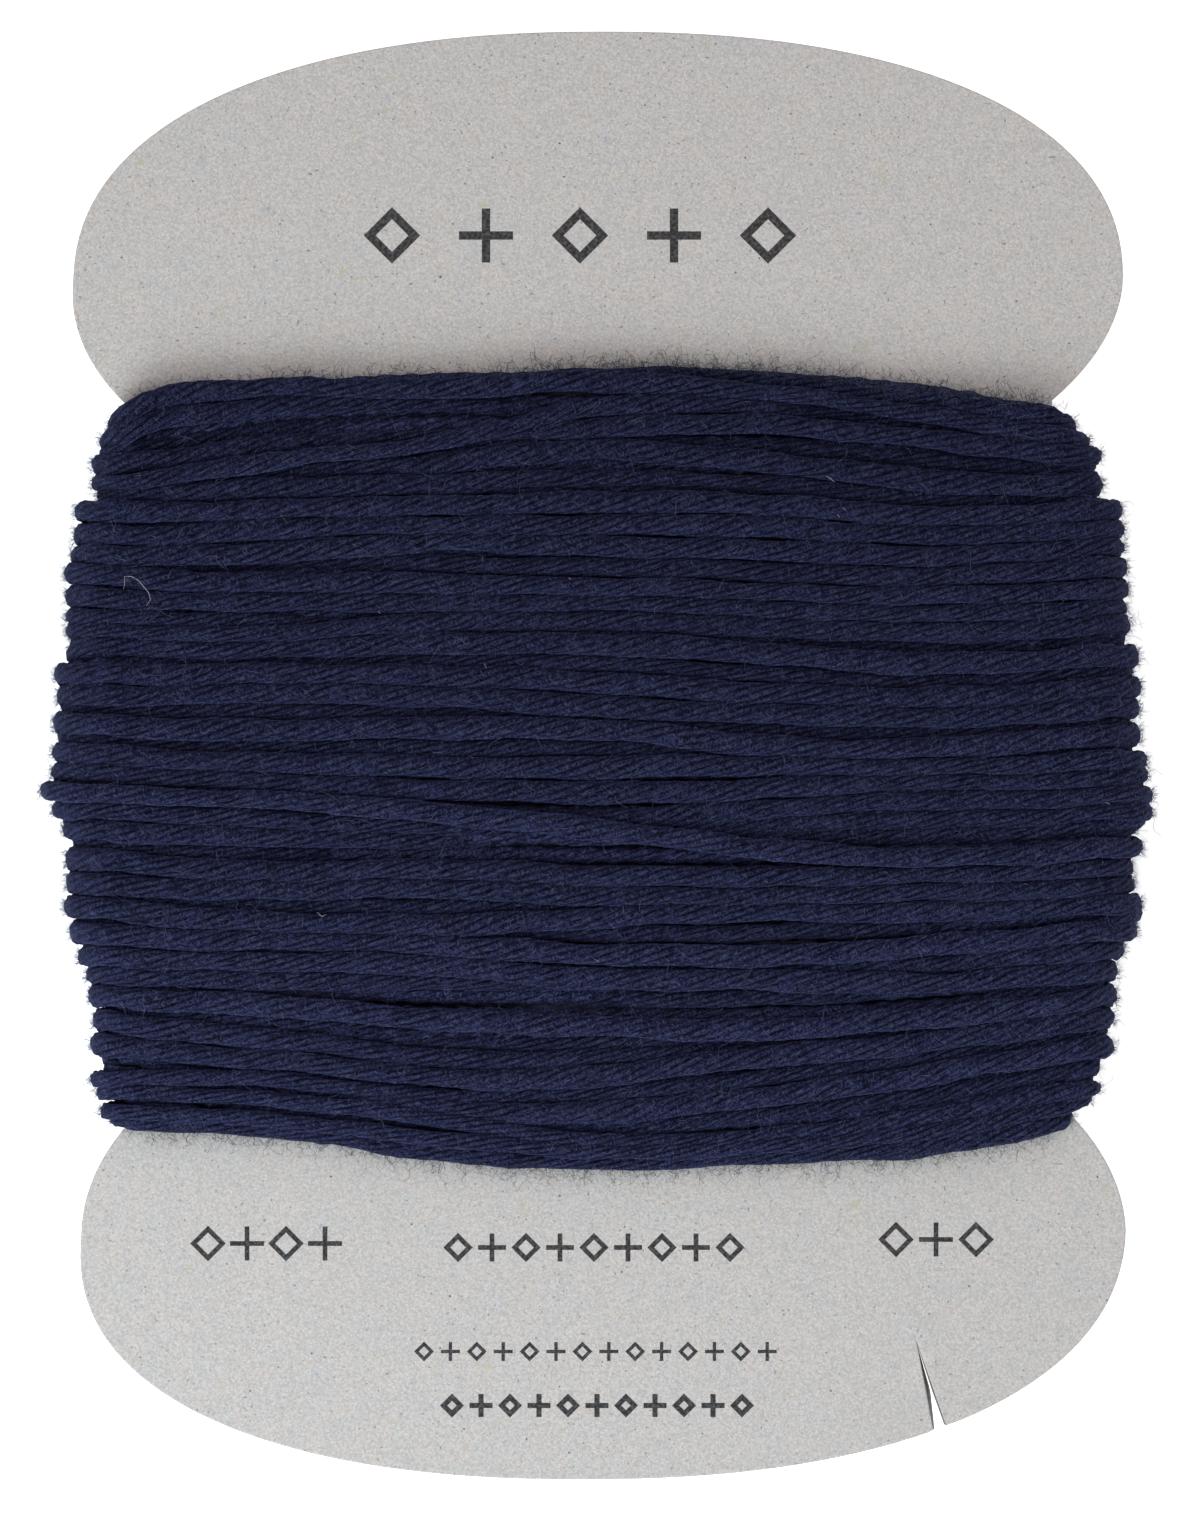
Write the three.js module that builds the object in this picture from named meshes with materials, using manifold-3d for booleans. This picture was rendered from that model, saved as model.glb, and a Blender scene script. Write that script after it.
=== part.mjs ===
// A card of sashiko thread: soft cotton embroidery thread wound round the waist of a die-cut
// cardboard card, whose two wide lobes keep the turns from slipping off.
// Millimetres. The card lies on its back: +Z is its face, +Y runs to the top lobe, and Z = 0 is
// the surface that the back of the winding rests on.
import * as THREE from 'three';
import Module from 'manifold-3d';
import { mergeVertices } from 'three/addons/utils/BufferGeometryUtils.js';

const wasm = await Module();
wasm.setup();

// The card: one piece of recycled board, held clear of the surface by the thread behind it.
const BOARD = 0.65;
const CARD_UNDERSIDE = 2.9;
const CARD_MIDDLE = CARD_UNDERSIDE + BOARD / 2;
const WAIST_HALF = 22.4;
const OVERLAP = 2;          // how far the waist strip runs into each lobe before they are joined

// Each lobe is widest at widestY. Its outer side reaches `outer` beyond that line and its inner
// side curves back in to the waist. fullness squares the outer curve; the leans skew each side.
const LOBES = {
  top: {
    away: 1, centreX: -0.1, widestY: 23.6, halfWidth: 26.25,
    outer: 12.6, inner: 12.6, fullness: 2.27, outerLean: 0.02, innerLean: 0.095,
  },
  bottom: {
    away: -1, centreX: 0.18, widestY: -24.0, halfWidth: 26.12,
    outer: 12.2, inner: 13.5, fullness: 2.27, outerLean: 0.09, innerLean: 0,
  },
};
const LOBE_STEPS = 72;

// The slit that holds the thread's end: a narrow V cut in from the bottom lobe's rim.
const SLIT = { apexX: 15.85, apexY: -29.4, leftX: 16.75, rightX: 17.3, rimY: -33.5, pastRim: 3 };

// The winding. CLEARANCE is the gap that it keeps from the card all round.
const CLEARANCE = 0.3;
const SHOULDER_CLEARANCE = 0.5;
const BORDER_LIP = 0.35;    // thickness of the winding's rim, where the last turn rounds off
const GROOVE = 0.34;        // how deep the groove between two turns goes
const UNEVEN = 0.1;         // how far one turn stands above or below its neighbours
const UNEVEN_TURNS = 2.4;   // how the unevenness shifts from turn to turn, in radians
const UNEVEN_ALONG = 3.1;   // and along each side of the ring
const CROWN = 0.14;         // share of the thickness lost from the middle of a face to its ends
const EDGE_ROUNDING = 0.92; // half width of the rounded edge, as a share of half the thickness
const BACK_BOW = 0.7;       // bow of the turns behind the card, as a share of the bow in front
const SLOT_STRAIGHT = 16.2; // the slot is as narrow as the waist between plus and minus this

// Turns that give the winding its form, from the top rim to the bottom one. turns: how many are
// laid from here to the next row. left, midLeft, middle, midRight, right: where the turn crosses
// the face, from its left edge to its right. reachLeft, reachRight: how far the thread stands out
// from the centre line. front, back: its thickness on the two faces of the card.
const COURSES = [
  { turns: 6, left: 17.0, midLeft: 19.0, middle: 19.6, midRight: 18.9, right: 16.9,
    reachLeft: 24.3, reachRight: 24.0, front: 1.5, back: 1.5 },
  { turns: 6, left: 11.4, midLeft: 11.8, middle: 12.0, midRight: 11.5, right: 11.5,
    reachLeft: 26.2, reachRight: 26.1, front: 2.5, back: 2.4 },
  { turns: 3, left: 5.7, midLeft: 5.9, middle: 6.2, midRight: 5.7, right: 5.8,
    reachLeft: 26.8, reachRight: 26.7, front: 2.85, back: 2.9 },
  { turns: 3, left: 3.4, midLeft: 3.6, middle: 3.1, midRight: 2.5, right: 2.7,
    reachLeft: 27.2, reachRight: 27.1, front: 2.95, back: 3.15 },
  { turns: 3, left: 0.9, midLeft: 0.8, middle: 0.6, midRight: -0.1, right: 0.1,
    reachLeft: 27.4, reachRight: 27.3, front: 3.05, back: 3.3 },
  { turns: 4, left: -1.6, midLeft: -1.9, middle: -2.5, midRight: -1.8, right: -1.7,
    reachLeft: 27.75, reachRight: 27.75, front: 3.1, back: 3.3 },
  { turns: 4, left: -5.8, midLeft: -6.2, middle: -6.5, midRight: -6.4, right: -6.3,
    reachLeft: 26.6, reachRight: 26.8, front: 2.9, back: 3.1 },
  { turns: 2, left: -9.5, midLeft: -9.8, middle: -10.5, midRight: -10.2, right: -9.5,
    reachLeft: 26.3, reachRight: 26.5, front: 2.7, back: 2.75 },
  { turns: 3, left: -11.3, midLeft: -11.8, middle: -12.8, midRight: -11.9, right: -11.4,
    reachLeft: 25.4, reachRight: 25.8, front: 2.4, back: 2.45 },
  { turns: 5, left: -14.2, midLeft: -14.9, middle: -15.4, midRight: -15.0, right: -14.0,
    reachLeft: 25.2, reachRight: 25.5, front: 2.0, back: 2.1 },
  { turns: 0, left: -18.3, midLeft: -19.6, middle: -20.5, midRight: -20.0, right: -17.8,
    reachLeft: 24.4, reachRight: 24.1, front: 1.5, back: 1.5 },
];

// Turns laid last, which ride over the others on the face: where each one starts, passes and ends.
const STRAY_TURNS = [
  { fromX: -22, fromY: 13.9, midX: -6.5, midY: 16.0, toX: 9, toY: 17.5 },
  { fromX: -12.5, fromY: -2.5, midX: 3.5, midY: -4.1, toX: 19, toY: -5.2 },
];
const STRAY_WIDTH = 1.3;
const STRAY_RISE = 0.28;

const FACE_STEPS = 16;      // stations across the face of the winding
const BACK_STEPS = 8;       // and across its back
const EDGE_STEPS = 7;       // and round each edge
const TURN_STEPS = 3;       // rows to a turn: one groove and two that make its crest

const { lerp } = THREE.MathUtils;

function solidOf(geometry) {
  const plain = geometry.clone();
  plain.deleteAttribute('normal');
  plain.deleteAttribute('uv');
  const merged = mergeVertices(plain, 1e-4);
  return new wasm.Manifold(new wasm.Mesh({
    numProp: 3,
    vertProperties: new Float32Array(merged.attributes.position.array),
    triVerts: new Uint32Array(merged.index.array),
  }));
}

function geometryOf(solid) {
  const mesh = solid.getMesh();
  const geometry = new THREE.BufferGeometry();
  geometry.setAttribute('position', new THREE.BufferAttribute(new Float32Array(mesh.vertProperties), 3));
  geometry.setIndex(new THREE.BufferAttribute(new Uint32Array(mesh.triVerts), 1));
  geometry.computeVertexNormals();
  return geometry;
}

function boardCut(points, depth = BOARD, from = CARD_UNDERSIDE) {
  const geometry = new THREE.ExtrudeGeometry(new THREE.Shape(points), { depth, bevelEnabled: false });
  geometry.translate(0, 0, from);
  return solidOf(geometry);
}

// The rim of a lobe at an angle measured from its widest line, positive towards its outer side.
function lobeRim(lobe, angle) {
  const outside = Math.sin(angle) >= 0;
  const power = outside ? 2 / lobe.fullness : 1;
  const reach = outside ? lobe.outer : lobe.inner;
  const lean = outside ? lobe.outerLean : lobe.innerLean;
  const along = Math.sign(Math.sin(angle)) * Math.abs(Math.sin(angle)) ** power * reach * lobe.away;
  const across = Math.sign(Math.cos(angle)) * Math.abs(Math.cos(angle)) ** power * lobe.halfWidth;
  return new THREE.Vector2(lobe.centreX + across + lean * along, lobe.widestY + along);
}

function lobeCut(lobe) {
  const points = [];
  for (let step = 0; step < LOBE_STEPS; step += 1) {
    points.push(lobeRim(lobe, (step / LOBE_STEPS) * Math.PI * 2));
  }
  return boardCut(lobe.away > 0 ? points : points.reverse());
}

// Half the card's width beside a lobe's inner curve, on one side (-1 left, 1 right).
function shoulderHalf(lobe, side, y) {
  const inward = y - lobe.widestY;
  const half = lobe.halfWidth * Math.sqrt(1 - (inward / lobe.inner) ** 2);
  return Math.max(WAIST_HALF, half + side * (lobe.centreX + lobe.innerLean * inward));
}

function makeCard() {
  const stripTop = LOBES.top.widestY - LOBES.top.inner / 2 + OVERLAP;
  const stripBottom = LOBES.bottom.widestY + LOBES.bottom.inner / 2 - OVERLAP;
  const waist = boardCut([
    new THREE.Vector2(-WAIST_HALF, stripBottom), new THREE.Vector2(WAIST_HALF, stripBottom),
    new THREE.Vector2(WAIST_HALF, stripTop), new THREE.Vector2(-WAIST_HALF, stripTop),
  ]);
  const widening = 1 + SLIT.pastRim / (SLIT.apexY - SLIT.rimY);
  const tipY = lerp(SLIT.apexY, SLIT.rimY, widening);
  const slit = boardCut([
    new THREE.Vector2(SLIT.apexX, SLIT.apexY),
    new THREE.Vector2(lerp(SLIT.apexX, SLIT.leftX, widening), tipY),
    new THREE.Vector2(lerp(SLIT.apexX, SLIT.rightX, widening), tipY),
  ], BOARD * 3, CARD_UNDERSIDE - BOARD);
  return geometryOf(lobeCut(LOBES.top).add(waist).add(lobeCut(LOBES.bottom)).subtract(slit));
}

// One row of the winding's surface: a line that follows a turn all round the card.
function rowBetween(upper, lower, share, turn) {
  const row = { turn };
  for (const name of Object.keys(upper)) row[name] = lerp(upper[name], lower[name], share);
  return row;
}

function windingRows() {
  const rows = [];
  let turn = 0;
  COURSES.slice(0, -1).forEach((upper, index) => {
    const lower = COURSES[index + 1];
    for (let laid = 0; laid < upper.turns; laid += 1) {
      for (let step = 0; step < TURN_STEPS; step += 1) {
        const row = rowBetween(upper, lower, (laid + step / TURN_STEPS) / upper.turns, turn);
        row.sunk = step === 0 ? GROOVE : 0;
        rows.push(row);
      }
      turn += 1;
    }
  });
  rows.push({ ...COURSES.at(-1), turn, sunk: 0 });
  for (const rim of [rows[0], rows.at(-1)]) rim.isRim = true;
  return rows;
}

// The stations round the card: across the face, round the right edge, back and round the left.
function ringStations() {
  const stations = [];
  const lay = (side, steps) => {
    for (let step = 0; step < steps; step += 1) stations.push({ side, share: step / steps });
  };
  lay('front', FACE_STEPS);
  lay('right', EDGE_STEPS);
  lay('back', BACK_STEPS);
  lay('left', EDGE_STEPS);
  return stations;
}

function faceY(row, share) {
  const knots = [row.left, row.midLeft, row.middle, row.midRight, row.right];
  return new THREE.SplineCurve(knots.map((y, index) => new THREE.Vector2(index, y))).getPoint(share).y;
}

function stationY(row, station) {
  if (station.side === 'front') return faceY(row, station.share);
  if (station.side === 'right') return row.right;
  if (station.side === 'left') return row.left;
  const bow = BACK_BOW * (row.middle - (row.left + row.right) / 2);
  return lerp(row.right, row.left, station.share) + bow * Math.sin(station.share * Math.PI);
}

// A point of the ring's section, which has flat faces and round edges. reaches gives its half
// widths, and front and back how far its faces lie from the middle of the board.
function sectionPoint(reaches, station, y) {
  const { left, right, front, back, rounding, crown } = reaches;
  const edgeFront = front - crown;
  const edgeBack = back - crown;
  if (station.side === 'front' || station.side === 'back') {
    const across = station.side === 'front' ? station.share : 1 - station.share;
    const x = lerp(rounding - left, right - rounding, across);
    const drop = crown * (2 * across - 1) ** 2;
    const z = station.side === 'front' ? front - drop : drop - back;
    return new THREE.Vector3(x, y, CARD_MIDDLE + z);
  }
  const onRight = station.side === 'right';
  const swing = (onRight ? 0.5 - station.share : station.share - 0.5) * Math.PI;
  const out = (onRight ? right : left) - rounding + rounding * Math.cos(swing);
  const height = Math.sin(swing) * (swing >= 0 ? edgeFront : edgeBack);
  return new THREE.Vector3(onRight ? out : -out, y, CARD_MIDDLE + height);
}

// How high the nearest stray turn stands above the others at a place on the face.
function strayRise(x, y) {
  let rise = -Infinity;
  for (const { fromX, fromY, midX, midY, toX, toY } of STRAY_TURNS) {
    if (x <= fromX || x >= toX) continue;
    const height = x < midX
      ? lerp(fromY, midY, (x - fromX) / (midX - fromX))
      : lerp(midY, toY, (x - midX) / (toX - midX));
    const aside = (2 * Math.abs(y - height)) / STRAY_WIDTH;
    if (aside < 1) rise = Math.max(rise, STRAY_RISE * Math.sqrt(1 - aside ** 2));
  }
  return rise;
}

function slotHalves(row) {
  if (!row.isRim) return { left: WAIST_HALF + CLEARANCE, right: WAIST_HALF + CLEARANCE };
  const lobe = row.middle > 0 ? LOBES.top : LOBES.bottom;
  return {
    left: shoulderHalf(lobe, -1, row.left) + SHOULDER_CLEARANCE,
    right: shoulderHalf(lobe, 1, row.right) + SHOULDER_CLEARANCE,
  };
}

function slotPoint(row, station, y) {
  const half = BOARD / 2 + CLEARANCE;
  const reaches = { ...slotHalves(row), front: half, back: half, rounding: 0, crown: 0 };
  return sectionPoint(reaches, station, y);
}

function outerPoint(row, station) {
  const y = stationY(row, station);
  const half = BOARD / 2 + CLEARANCE;
  if (row.isRim) {
    const slot = slotHalves(row);
    return sectionPoint({
      left: slot.left + BORDER_LIP, right: slot.right + BORDER_LIP,
      front: half + BORDER_LIP, back: half + BORDER_LIP, rounding: BORDER_LIP, crown: 0,
    }, station, y);
  }
  const wave = Math.sin(row.turn * UNEVEN_TURNS + station.share * UNEVEN_ALONG);
  const stray = UNEVEN * wave - row.sunk;
  const front = BOARD / 2 + row.front + stray;
  const back = BOARD / 2 + row.back + stray;
  const point = sectionPoint({
    left: row.reachLeft + stray, right: row.reachRight + stray, front, back,
    rounding: (EDGE_ROUNDING * (front + back)) / 2, crown: CROWN * row.front,
  }, station, y);
  if (station.side === 'front') {
    const crest = point.z - stray;
    point.z = Math.max(point.z, crest + strayRise(point.x, point.y));
  }
  point.z = Math.max(point.z, 0);
  return point;
}

// The winding is one ring: its surface runs down the outside, row by row, and up the slot.
function makeWinding() {
  const rows = windingRows();
  const slotTop = { ...rows[0], isRim: false };
  const lines = rows.map((row) => (station) => outerPoint(row, station));
  lines.push((station) => slotPoint(rows.at(-1), station, stationY(rows.at(-1), station)));
  lines.push((station) => slotPoint(slotTop, station, -SLOT_STRAIGHT));
  lines.push((station) => slotPoint(slotTop, station, SLOT_STRAIGHT));
  lines.push((station) => slotPoint(rows[0], station, stationY(rows[0], station)));
  const stations = ringStations();
  const positions = [];
  const triangles = [];
  for (const station of stations) {
    for (const line of lines) positions.push(...line(station).toArray());
  }
  const vertex = (station, line) => (station % stations.length) * lines.length + (line % lines.length);
  for (let station = 0; station < stations.length; station += 1) {
    for (let line = 0; line < lines.length; line += 1) {
      const corner = vertex(station, line);
      const below = vertex(station, line + 1);
      const beside = vertex(station + 1, line);
      const across = vertex(station + 1, line + 1);
      triangles.push(corner, below, across, corner, across, beside);
    }
  }
  const geometry = new THREE.BufferGeometry();
  geometry.setAttribute('position', new THREE.Float32BufferAttribute(positions, 3));
  geometry.setIndex(triangles);
  geometry.computeVertexNormals();
  return geometry;
}

const board = new THREE.MeshStandardMaterial({ color: 0xb4b2ad, roughness: 0.92, metalness: 0 });
const cotton = new THREE.MeshStandardMaterial({ color: 0x1c2650, roughness: 0.95, metalness: 0 });

const card = new THREE.Mesh(makeCard(), board);
card.name = 'card';

const winding = new THREE.Mesh(makeWinding(), cotton);
winding.name = 'winding';

const threadCard = new THREE.Group();
threadCard.name = 'thread_card';
threadCard.add(card, winding);

export default threadCard;
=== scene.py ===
# A card of sashiko thread lying on its back: a die-cut grey board with two round lobes, and soft navy
# cotton wound round its waist. All lengths are in metres once they are multiplied by MM.
import math
import random

import bmesh
import bpy
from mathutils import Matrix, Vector, geometry
from mathutils.bvhtree import BVHTree


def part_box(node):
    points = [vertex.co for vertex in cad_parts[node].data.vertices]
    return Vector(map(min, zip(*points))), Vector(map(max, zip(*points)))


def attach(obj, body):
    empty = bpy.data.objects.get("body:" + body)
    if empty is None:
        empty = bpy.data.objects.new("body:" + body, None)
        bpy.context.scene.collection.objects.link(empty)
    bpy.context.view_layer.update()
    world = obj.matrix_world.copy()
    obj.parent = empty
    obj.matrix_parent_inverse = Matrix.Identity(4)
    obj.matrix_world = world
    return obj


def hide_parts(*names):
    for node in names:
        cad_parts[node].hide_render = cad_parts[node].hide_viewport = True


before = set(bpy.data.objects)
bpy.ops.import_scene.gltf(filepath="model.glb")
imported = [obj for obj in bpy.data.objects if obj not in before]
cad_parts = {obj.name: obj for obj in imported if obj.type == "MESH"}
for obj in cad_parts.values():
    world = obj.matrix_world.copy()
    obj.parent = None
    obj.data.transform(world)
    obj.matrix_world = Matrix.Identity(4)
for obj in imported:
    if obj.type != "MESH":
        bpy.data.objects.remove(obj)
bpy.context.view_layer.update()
MM = 0.001
card_low, card_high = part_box("card")

# The view: straight down on the card's face through a long lens, as the photo is taken.
# The picture is 60 mm wide and 75.65 mm high at the card's face.
PHOTO_WIDTH = 1200
PHOTO_HEIGHT = 1513
PIXELS_A_MM = 20.0
PHOTO_MIDDLE_ROW = 755.5
LENS_MM = 400.0
SENSOR_MM = 36.0
VIEW_HEIGHT = PHOTO_HEIGHT / PIXELS_A_MM * MM
VIEW_MIDDLE_Y = (PHOTO_MIDDLE_ROW - PHOTO_HEIGHT / 2) / PIXELS_A_MM * MM
card_face = card_high[2]


def put_in_scene(name, data):
    """Puts a new object with its data into the scene."""
    made = bpy.data.objects.new(name, data)
    bpy.context.scene.collection.objects.link(made)
    return made


camera_data = bpy.data.cameras.new("view_camera")
camera_data.lens = LENS_MM
camera_data.sensor_width = SENSOR_MM
camera_data.clip_start = 0.01
camera_data.clip_end = 5.0
camera = put_in_scene("view_camera", camera_data)
camera.location = (0.0, VIEW_MIDDLE_Y, card_face + VIEW_HEIGHT * LENS_MM / SENSOR_MM)
bpy.context.scene.camera = camera
bpy.context.scene.view_settings.view_transform = "Standard"


# The studio: one broad soft light from low left, a wide one overhead and pale light from all round.
def add_soft_light(name, place, size, power, colour):
    """Hangs a square soft light at a place and points it at the card."""
    data = bpy.data.lights.new(name, "AREA")
    data.size = size
    data.energy = power
    data.color = colour
    light = put_in_scene(name, data)
    light.location = place
    light.rotation_euler = (-Vector(place)).to_track_quat("-Z", "Y").to_euler()


add_soft_light("low_left_light", (-0.10, -0.14, 0.12), 0.14, 0.31, (0.80, 0.95, 1.0))
add_soft_light("overhead_light", (0.05, 0.05, 0.70), 0.60, 0.66, (1.0, 1.0, 1.0))
surround = bpy.data.worlds.new("studio")
surround.use_nodes = True
background = surround.node_tree.nodes["Background"].inputs
background["Color"].default_value = (1.0, 1.0, 1.0, 1.0)
background["Strength"].default_value = 0.60
bpy.context.scene.world = surround

# The floor: a plain white table top under the card.
FLOOR_HALF = 0.8


def new_material(name, surface):
    """Starts a material with its surface settings, and gives it with its tree and its shader's inputs."""
    material = bpy.data.materials.new(name)
    material.use_nodes = True
    inputs = material.node_tree.nodes["Principled BSDF"].inputs
    for setting, value in surface.items():
        inputs[setting].default_value = value
    return material, material.node_tree, inputs


floor_mesh = bpy.data.meshes.new("floor")
floor_corners = [(-1, -1), (1, -1), (1, 1), (-1, 1)]
floor_mesh.from_pydata([(x * FLOOR_HALF, y * FLOOR_HALF, 0.0) for x, y in floor_corners], [], [(0, 1, 2, 3)])
floor = put_in_scene("floor", floor_mesh)
floor_mesh.materials.append(new_material("floor_white", {
    "Base Color": (0.95, 0.95, 0.95, 1.0), "Roughness": 0.9, "Specular IOR Level": 0.1,
    "Emission Color": (1.0, 1.0, 1.0, 1.0), "Emission Strength": 0.62,
})[0])

# The card: one piece of recycled grey board, 0.65 mm thick, die cut to two lobes and a narrower waist.
# A V slit in the lower right rim takes the thread's end, and its lips are pressed a little out of level.
WAIST_HALF = 22.4
LOBES = (
    dict(away=1, middle=-0.1, widest=23.6, half=26.25,
         outer=12.6, inner=12.6, outer_lean=0.02, inner_lean=0.095),
    dict(away=-1, middle=0.18, widest=-24.0, half=26.12,
         outer=12.2, inner=13.5, outer_lean=0.09, inner_lean=0.0),
)
LOBE_FULLNESS = 2.27
LOBE_STEPS = 150
SLIT_APEX = (15.85, -29.4)
SLIT_LEFT = (16.67, -33.71)
SLIT_RIGHT = (17.3, -33.5)
SLIT_STEPS = 12
TORN_LEFT = 0.27
TORN_RIGHT = 0.09
TORN_FADE = 0.7
TORN_CLEARANCE = 0.985
MOUTH_MARGIN = 0.15
BOARD_GRID = 1.1
GRID_HALF = 40.0
GRID_LIMIT = (27.0, 37.0)
RIM_CLEARANCE = 0.45
LIP_REACH = 3.2
LIP_DROP = 0.13
LIP_SOFTNESS = 2.5
LIP_ONSET = 1.6
RIGHT_LIP_SHARE = 0.6
SLIT_HALF_AT_APEX = 0.12
SLIT_HALF_GROWTH = 0.2
ON_LIP = 0.01
SHARP_ANGLE = 1.0
CUT_ROUNDING = 0.07


def lobe_rim(lobe, angle):
    """A point on a lobe's rim, in mm: fuller than an ellipse outside, an ellipse on the waist side."""
    across, along = math.cos(angle), math.sin(angle)
    if along >= 0:
        reach, lean, power = lobe["outer"], lobe["outer_lean"], 2 / LOBE_FULLNESS
    else:
        reach, lean, power = lobe["inner"], lobe["inner_lean"], 1.0
    across = math.copysign(abs(across) ** power, across) * lobe["half"]
    along = math.copysign(abs(along) ** power, along) * reach * lobe["away"]
    return (lobe["middle"] + across + lean * along, lobe["widest"] + along)


def board_outline():
    """The card's outline without its slit, counter-clockwise, in mm."""
    top, bottom = LOBES
    points = []
    for lobe, from_right in ((top, True), (bottom, False)):
        rim = []
        for step in range(LOBE_STEPS + 1):
            angle = -math.pi / 2 + 2 * math.pi * step / LOBE_STEPS
            x, y = lobe_rim(lobe, angle)
            inside_waist = math.sin(angle) < 0 and abs(x) < WAIST_HALF
            if not inside_waist:
                rim.append((x, y))
        points += rim if from_right else rim[::-1]
    return points


def nearest_on_slit(x, y, lip):
    """How far along a slit lip a point lies, from 0 at the apex to 1 at the rim."""
    start = Vector(SLIT_APEX)
    run = Vector(lip) - start
    return max(0.0, min(1.0, (Vector((x, y)) - start).dot(run) / run.dot(run)))


def with_slit(points):
    """The outline with the slit's two lips put in where it crosses the rim."""
    kept = []
    done = False
    for x, y in points:
        in_mouth = y < SLIT_APEX[1] and SLIT_LEFT[0] - MOUTH_MARGIN < x < SLIT_RIGHT[0] + MOUTH_MARGIN
        if not in_mouth:
            kept.append((x, y))
        elif not done:
            for step in range(SLIT_STEPS, -1, -1):
                kept.append(tuple(Vector(SLIT_APEX).lerp(Vector(SLIT_LEFT), step / SLIT_STEPS)))
            for step in range(1, SLIT_STEPS + 1):
                kept.append(tuple(Vector(SLIT_APEX).lerp(Vector(SLIT_RIGHT), step / SLIT_STEPS)))
            done = True
    return kept


def lip_level(x, y):
    """How far the board is pressed up or down beside the slit, in mm."""
    along = nearest_on_slit(x, y, SLIT_LEFT)
    left = Vector(SLIT_APEX).lerp(Vector(SLIT_LEFT), along)
    away = (Vector((x, y)) - left).length / LIP_REACH
    fade = math.exp(-away * away * LIP_SOFTNESS) * min(1.0, along * LIP_ONSET)
    on_left = x < left.x + SLIT_HALF_AT_APEX + SLIT_HALF_GROWTH * along
    return -LIP_DROP * fade if on_left else LIP_DROP * RIGHT_LIP_SHARE * fade


def build_board():
    """The board's two faces on a fine grid, with the points of the one and those of the other below them."""
    outline = with_slit(board_outline())
    count = len(outline)
    corners = [Vector(point) for point in outline]
    grid = []
    rows = int(2 * GRID_HALF / BOARD_GRID)
    for row in range(rows):
        for column in range(rows):
            x = -GRID_HALF + column * BOARD_GRID + (row % 2) * BOARD_GRID / 2
            y = -GRID_HALF + row * BOARD_GRID
            clear = all((Vector((x, y)) - corner).length > BOARD_GRID * RIM_CLEARANCE for corner in corners)
            if clear and abs(x) < GRID_LIMIT[0] and abs(y) < GRID_LIMIT[1]:
                grid.append(Vector((x, y)))
    edges = [(at, (at + 1) % count) for at in range(count)]
    flat, _, faces, _, _, _ = geometry.delaunay_2d_cdt(corners + grid, edges, [list(range(count))], 1, 1e-7)
    board = bmesh.new()
    top = [board.verts.new((p.x * MM, p.y * MM, card_high[2] + lip_level(p.x, p.y) * MM)) for p in flat]
    low = [board.verts.new((p.x * MM, p.y * MM, card_low[2] + lip_level(p.x, p.y) * MM)) for p in flat]
    for face in faces:
        board.faces.new([top[at] for at in face])
        board.faces.new([low[at] for at in reversed(face)])
    return board, top, low


def mesh_from(name, shape):
    """Writes a shape that was being built into a new mesh."""
    mesh = bpy.data.meshes.new(name)
    shape.to_mesh(mesh)
    shape.free()
    return mesh


board, board_top, board_low = build_board()
open_edges = [edge for edge in board.edges if len(edge.link_faces) == 1]
partner = dict(zip(board_top, board_low))
rim_edges = [edge for edge in open_edges if edge.verts[0] in partner and edge.verts[1] in partner]
for edge in rim_edges:
    first, second = edge.verts
    loop = edge.link_loops[0]
    if loop.vert is not first:
        first, second = second, first
    board.faces.new((second, first, partner[first], partner[second]))
slit_lips = ((SLIT_LEFT, 1, TORN_LEFT), (SLIT_RIGHT, -1, TORN_RIGHT))
for vert, low in partner.items():
    for lip, towards, torn in slit_lips:
        along = nearest_on_slit(vert.co.x / MM, vert.co.y / MM, lip)
        on_lip = Vector(SLIT_APEX).lerp(Vector(lip), along)
        off = (Vector((vert.co.x / MM, vert.co.y / MM)) - on_lip).length
        if off < ON_LIP and along > ON_LIP:
            width = along * (SLIT_RIGHT[0] - SLIT_LEFT[0])
            if towards > 0:
                torn *= 1 - TORN_FADE * max(0.0, 2 * along - 1)
            most = width * TORN_CLEARANCE * torn / (TORN_LEFT + TORN_RIGHT)
            low.co.x += towards * min(torn, most) * MM
outside = [vert for vert in board.verts if not vert.link_faces]
bmesh.ops.delete(board, geom=outside, context="VERTS")
cut_edges = [edge for edge in board.edges if edge.calc_face_angle(0.0) > SHARP_ANGLE]
bmesh.ops.bevel(board, geom=cut_edges, offset=CUT_ROUNDING * MM, segments=2, profile=0.6, affect="EDGES")
bmesh.ops.recalc_face_normals(board, faces=board.faces)
board_mesh = mesh_from("thread_card", board)
thread_card = put_in_scene("thread_card", board_mesh)


def add_node(tree, kind, values=None, **settings):
    """Adds a node, makes its settings, and fills its inputs or links them to another node's output."""
    made = tree.nodes.new(kind)
    for name, value in settings.items():
        setattr(made, name, value)
    for key, value in (values or {}).items():
        socket = made.inputs[key]
        if isinstance(value, bpy.types.NodeSocket):
            tree.links.new(value, socket)
        else:
            socket.default_value = value
    return made


def result_of(tree, kind, values=None, **settings):
    """Adds a node, and gives its first output."""
    return add_node(tree, kind, values, **settings).outputs[0]


def spread_out(tree, value, low, high, first=0.0, last=1.0):
    """Takes a value between two ends to a value between two others, and stops at them."""
    return result_of(tree, "ShaderNodeMapRange", {0: value, 1: low, 2: high, 3: first, 4: last})


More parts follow.
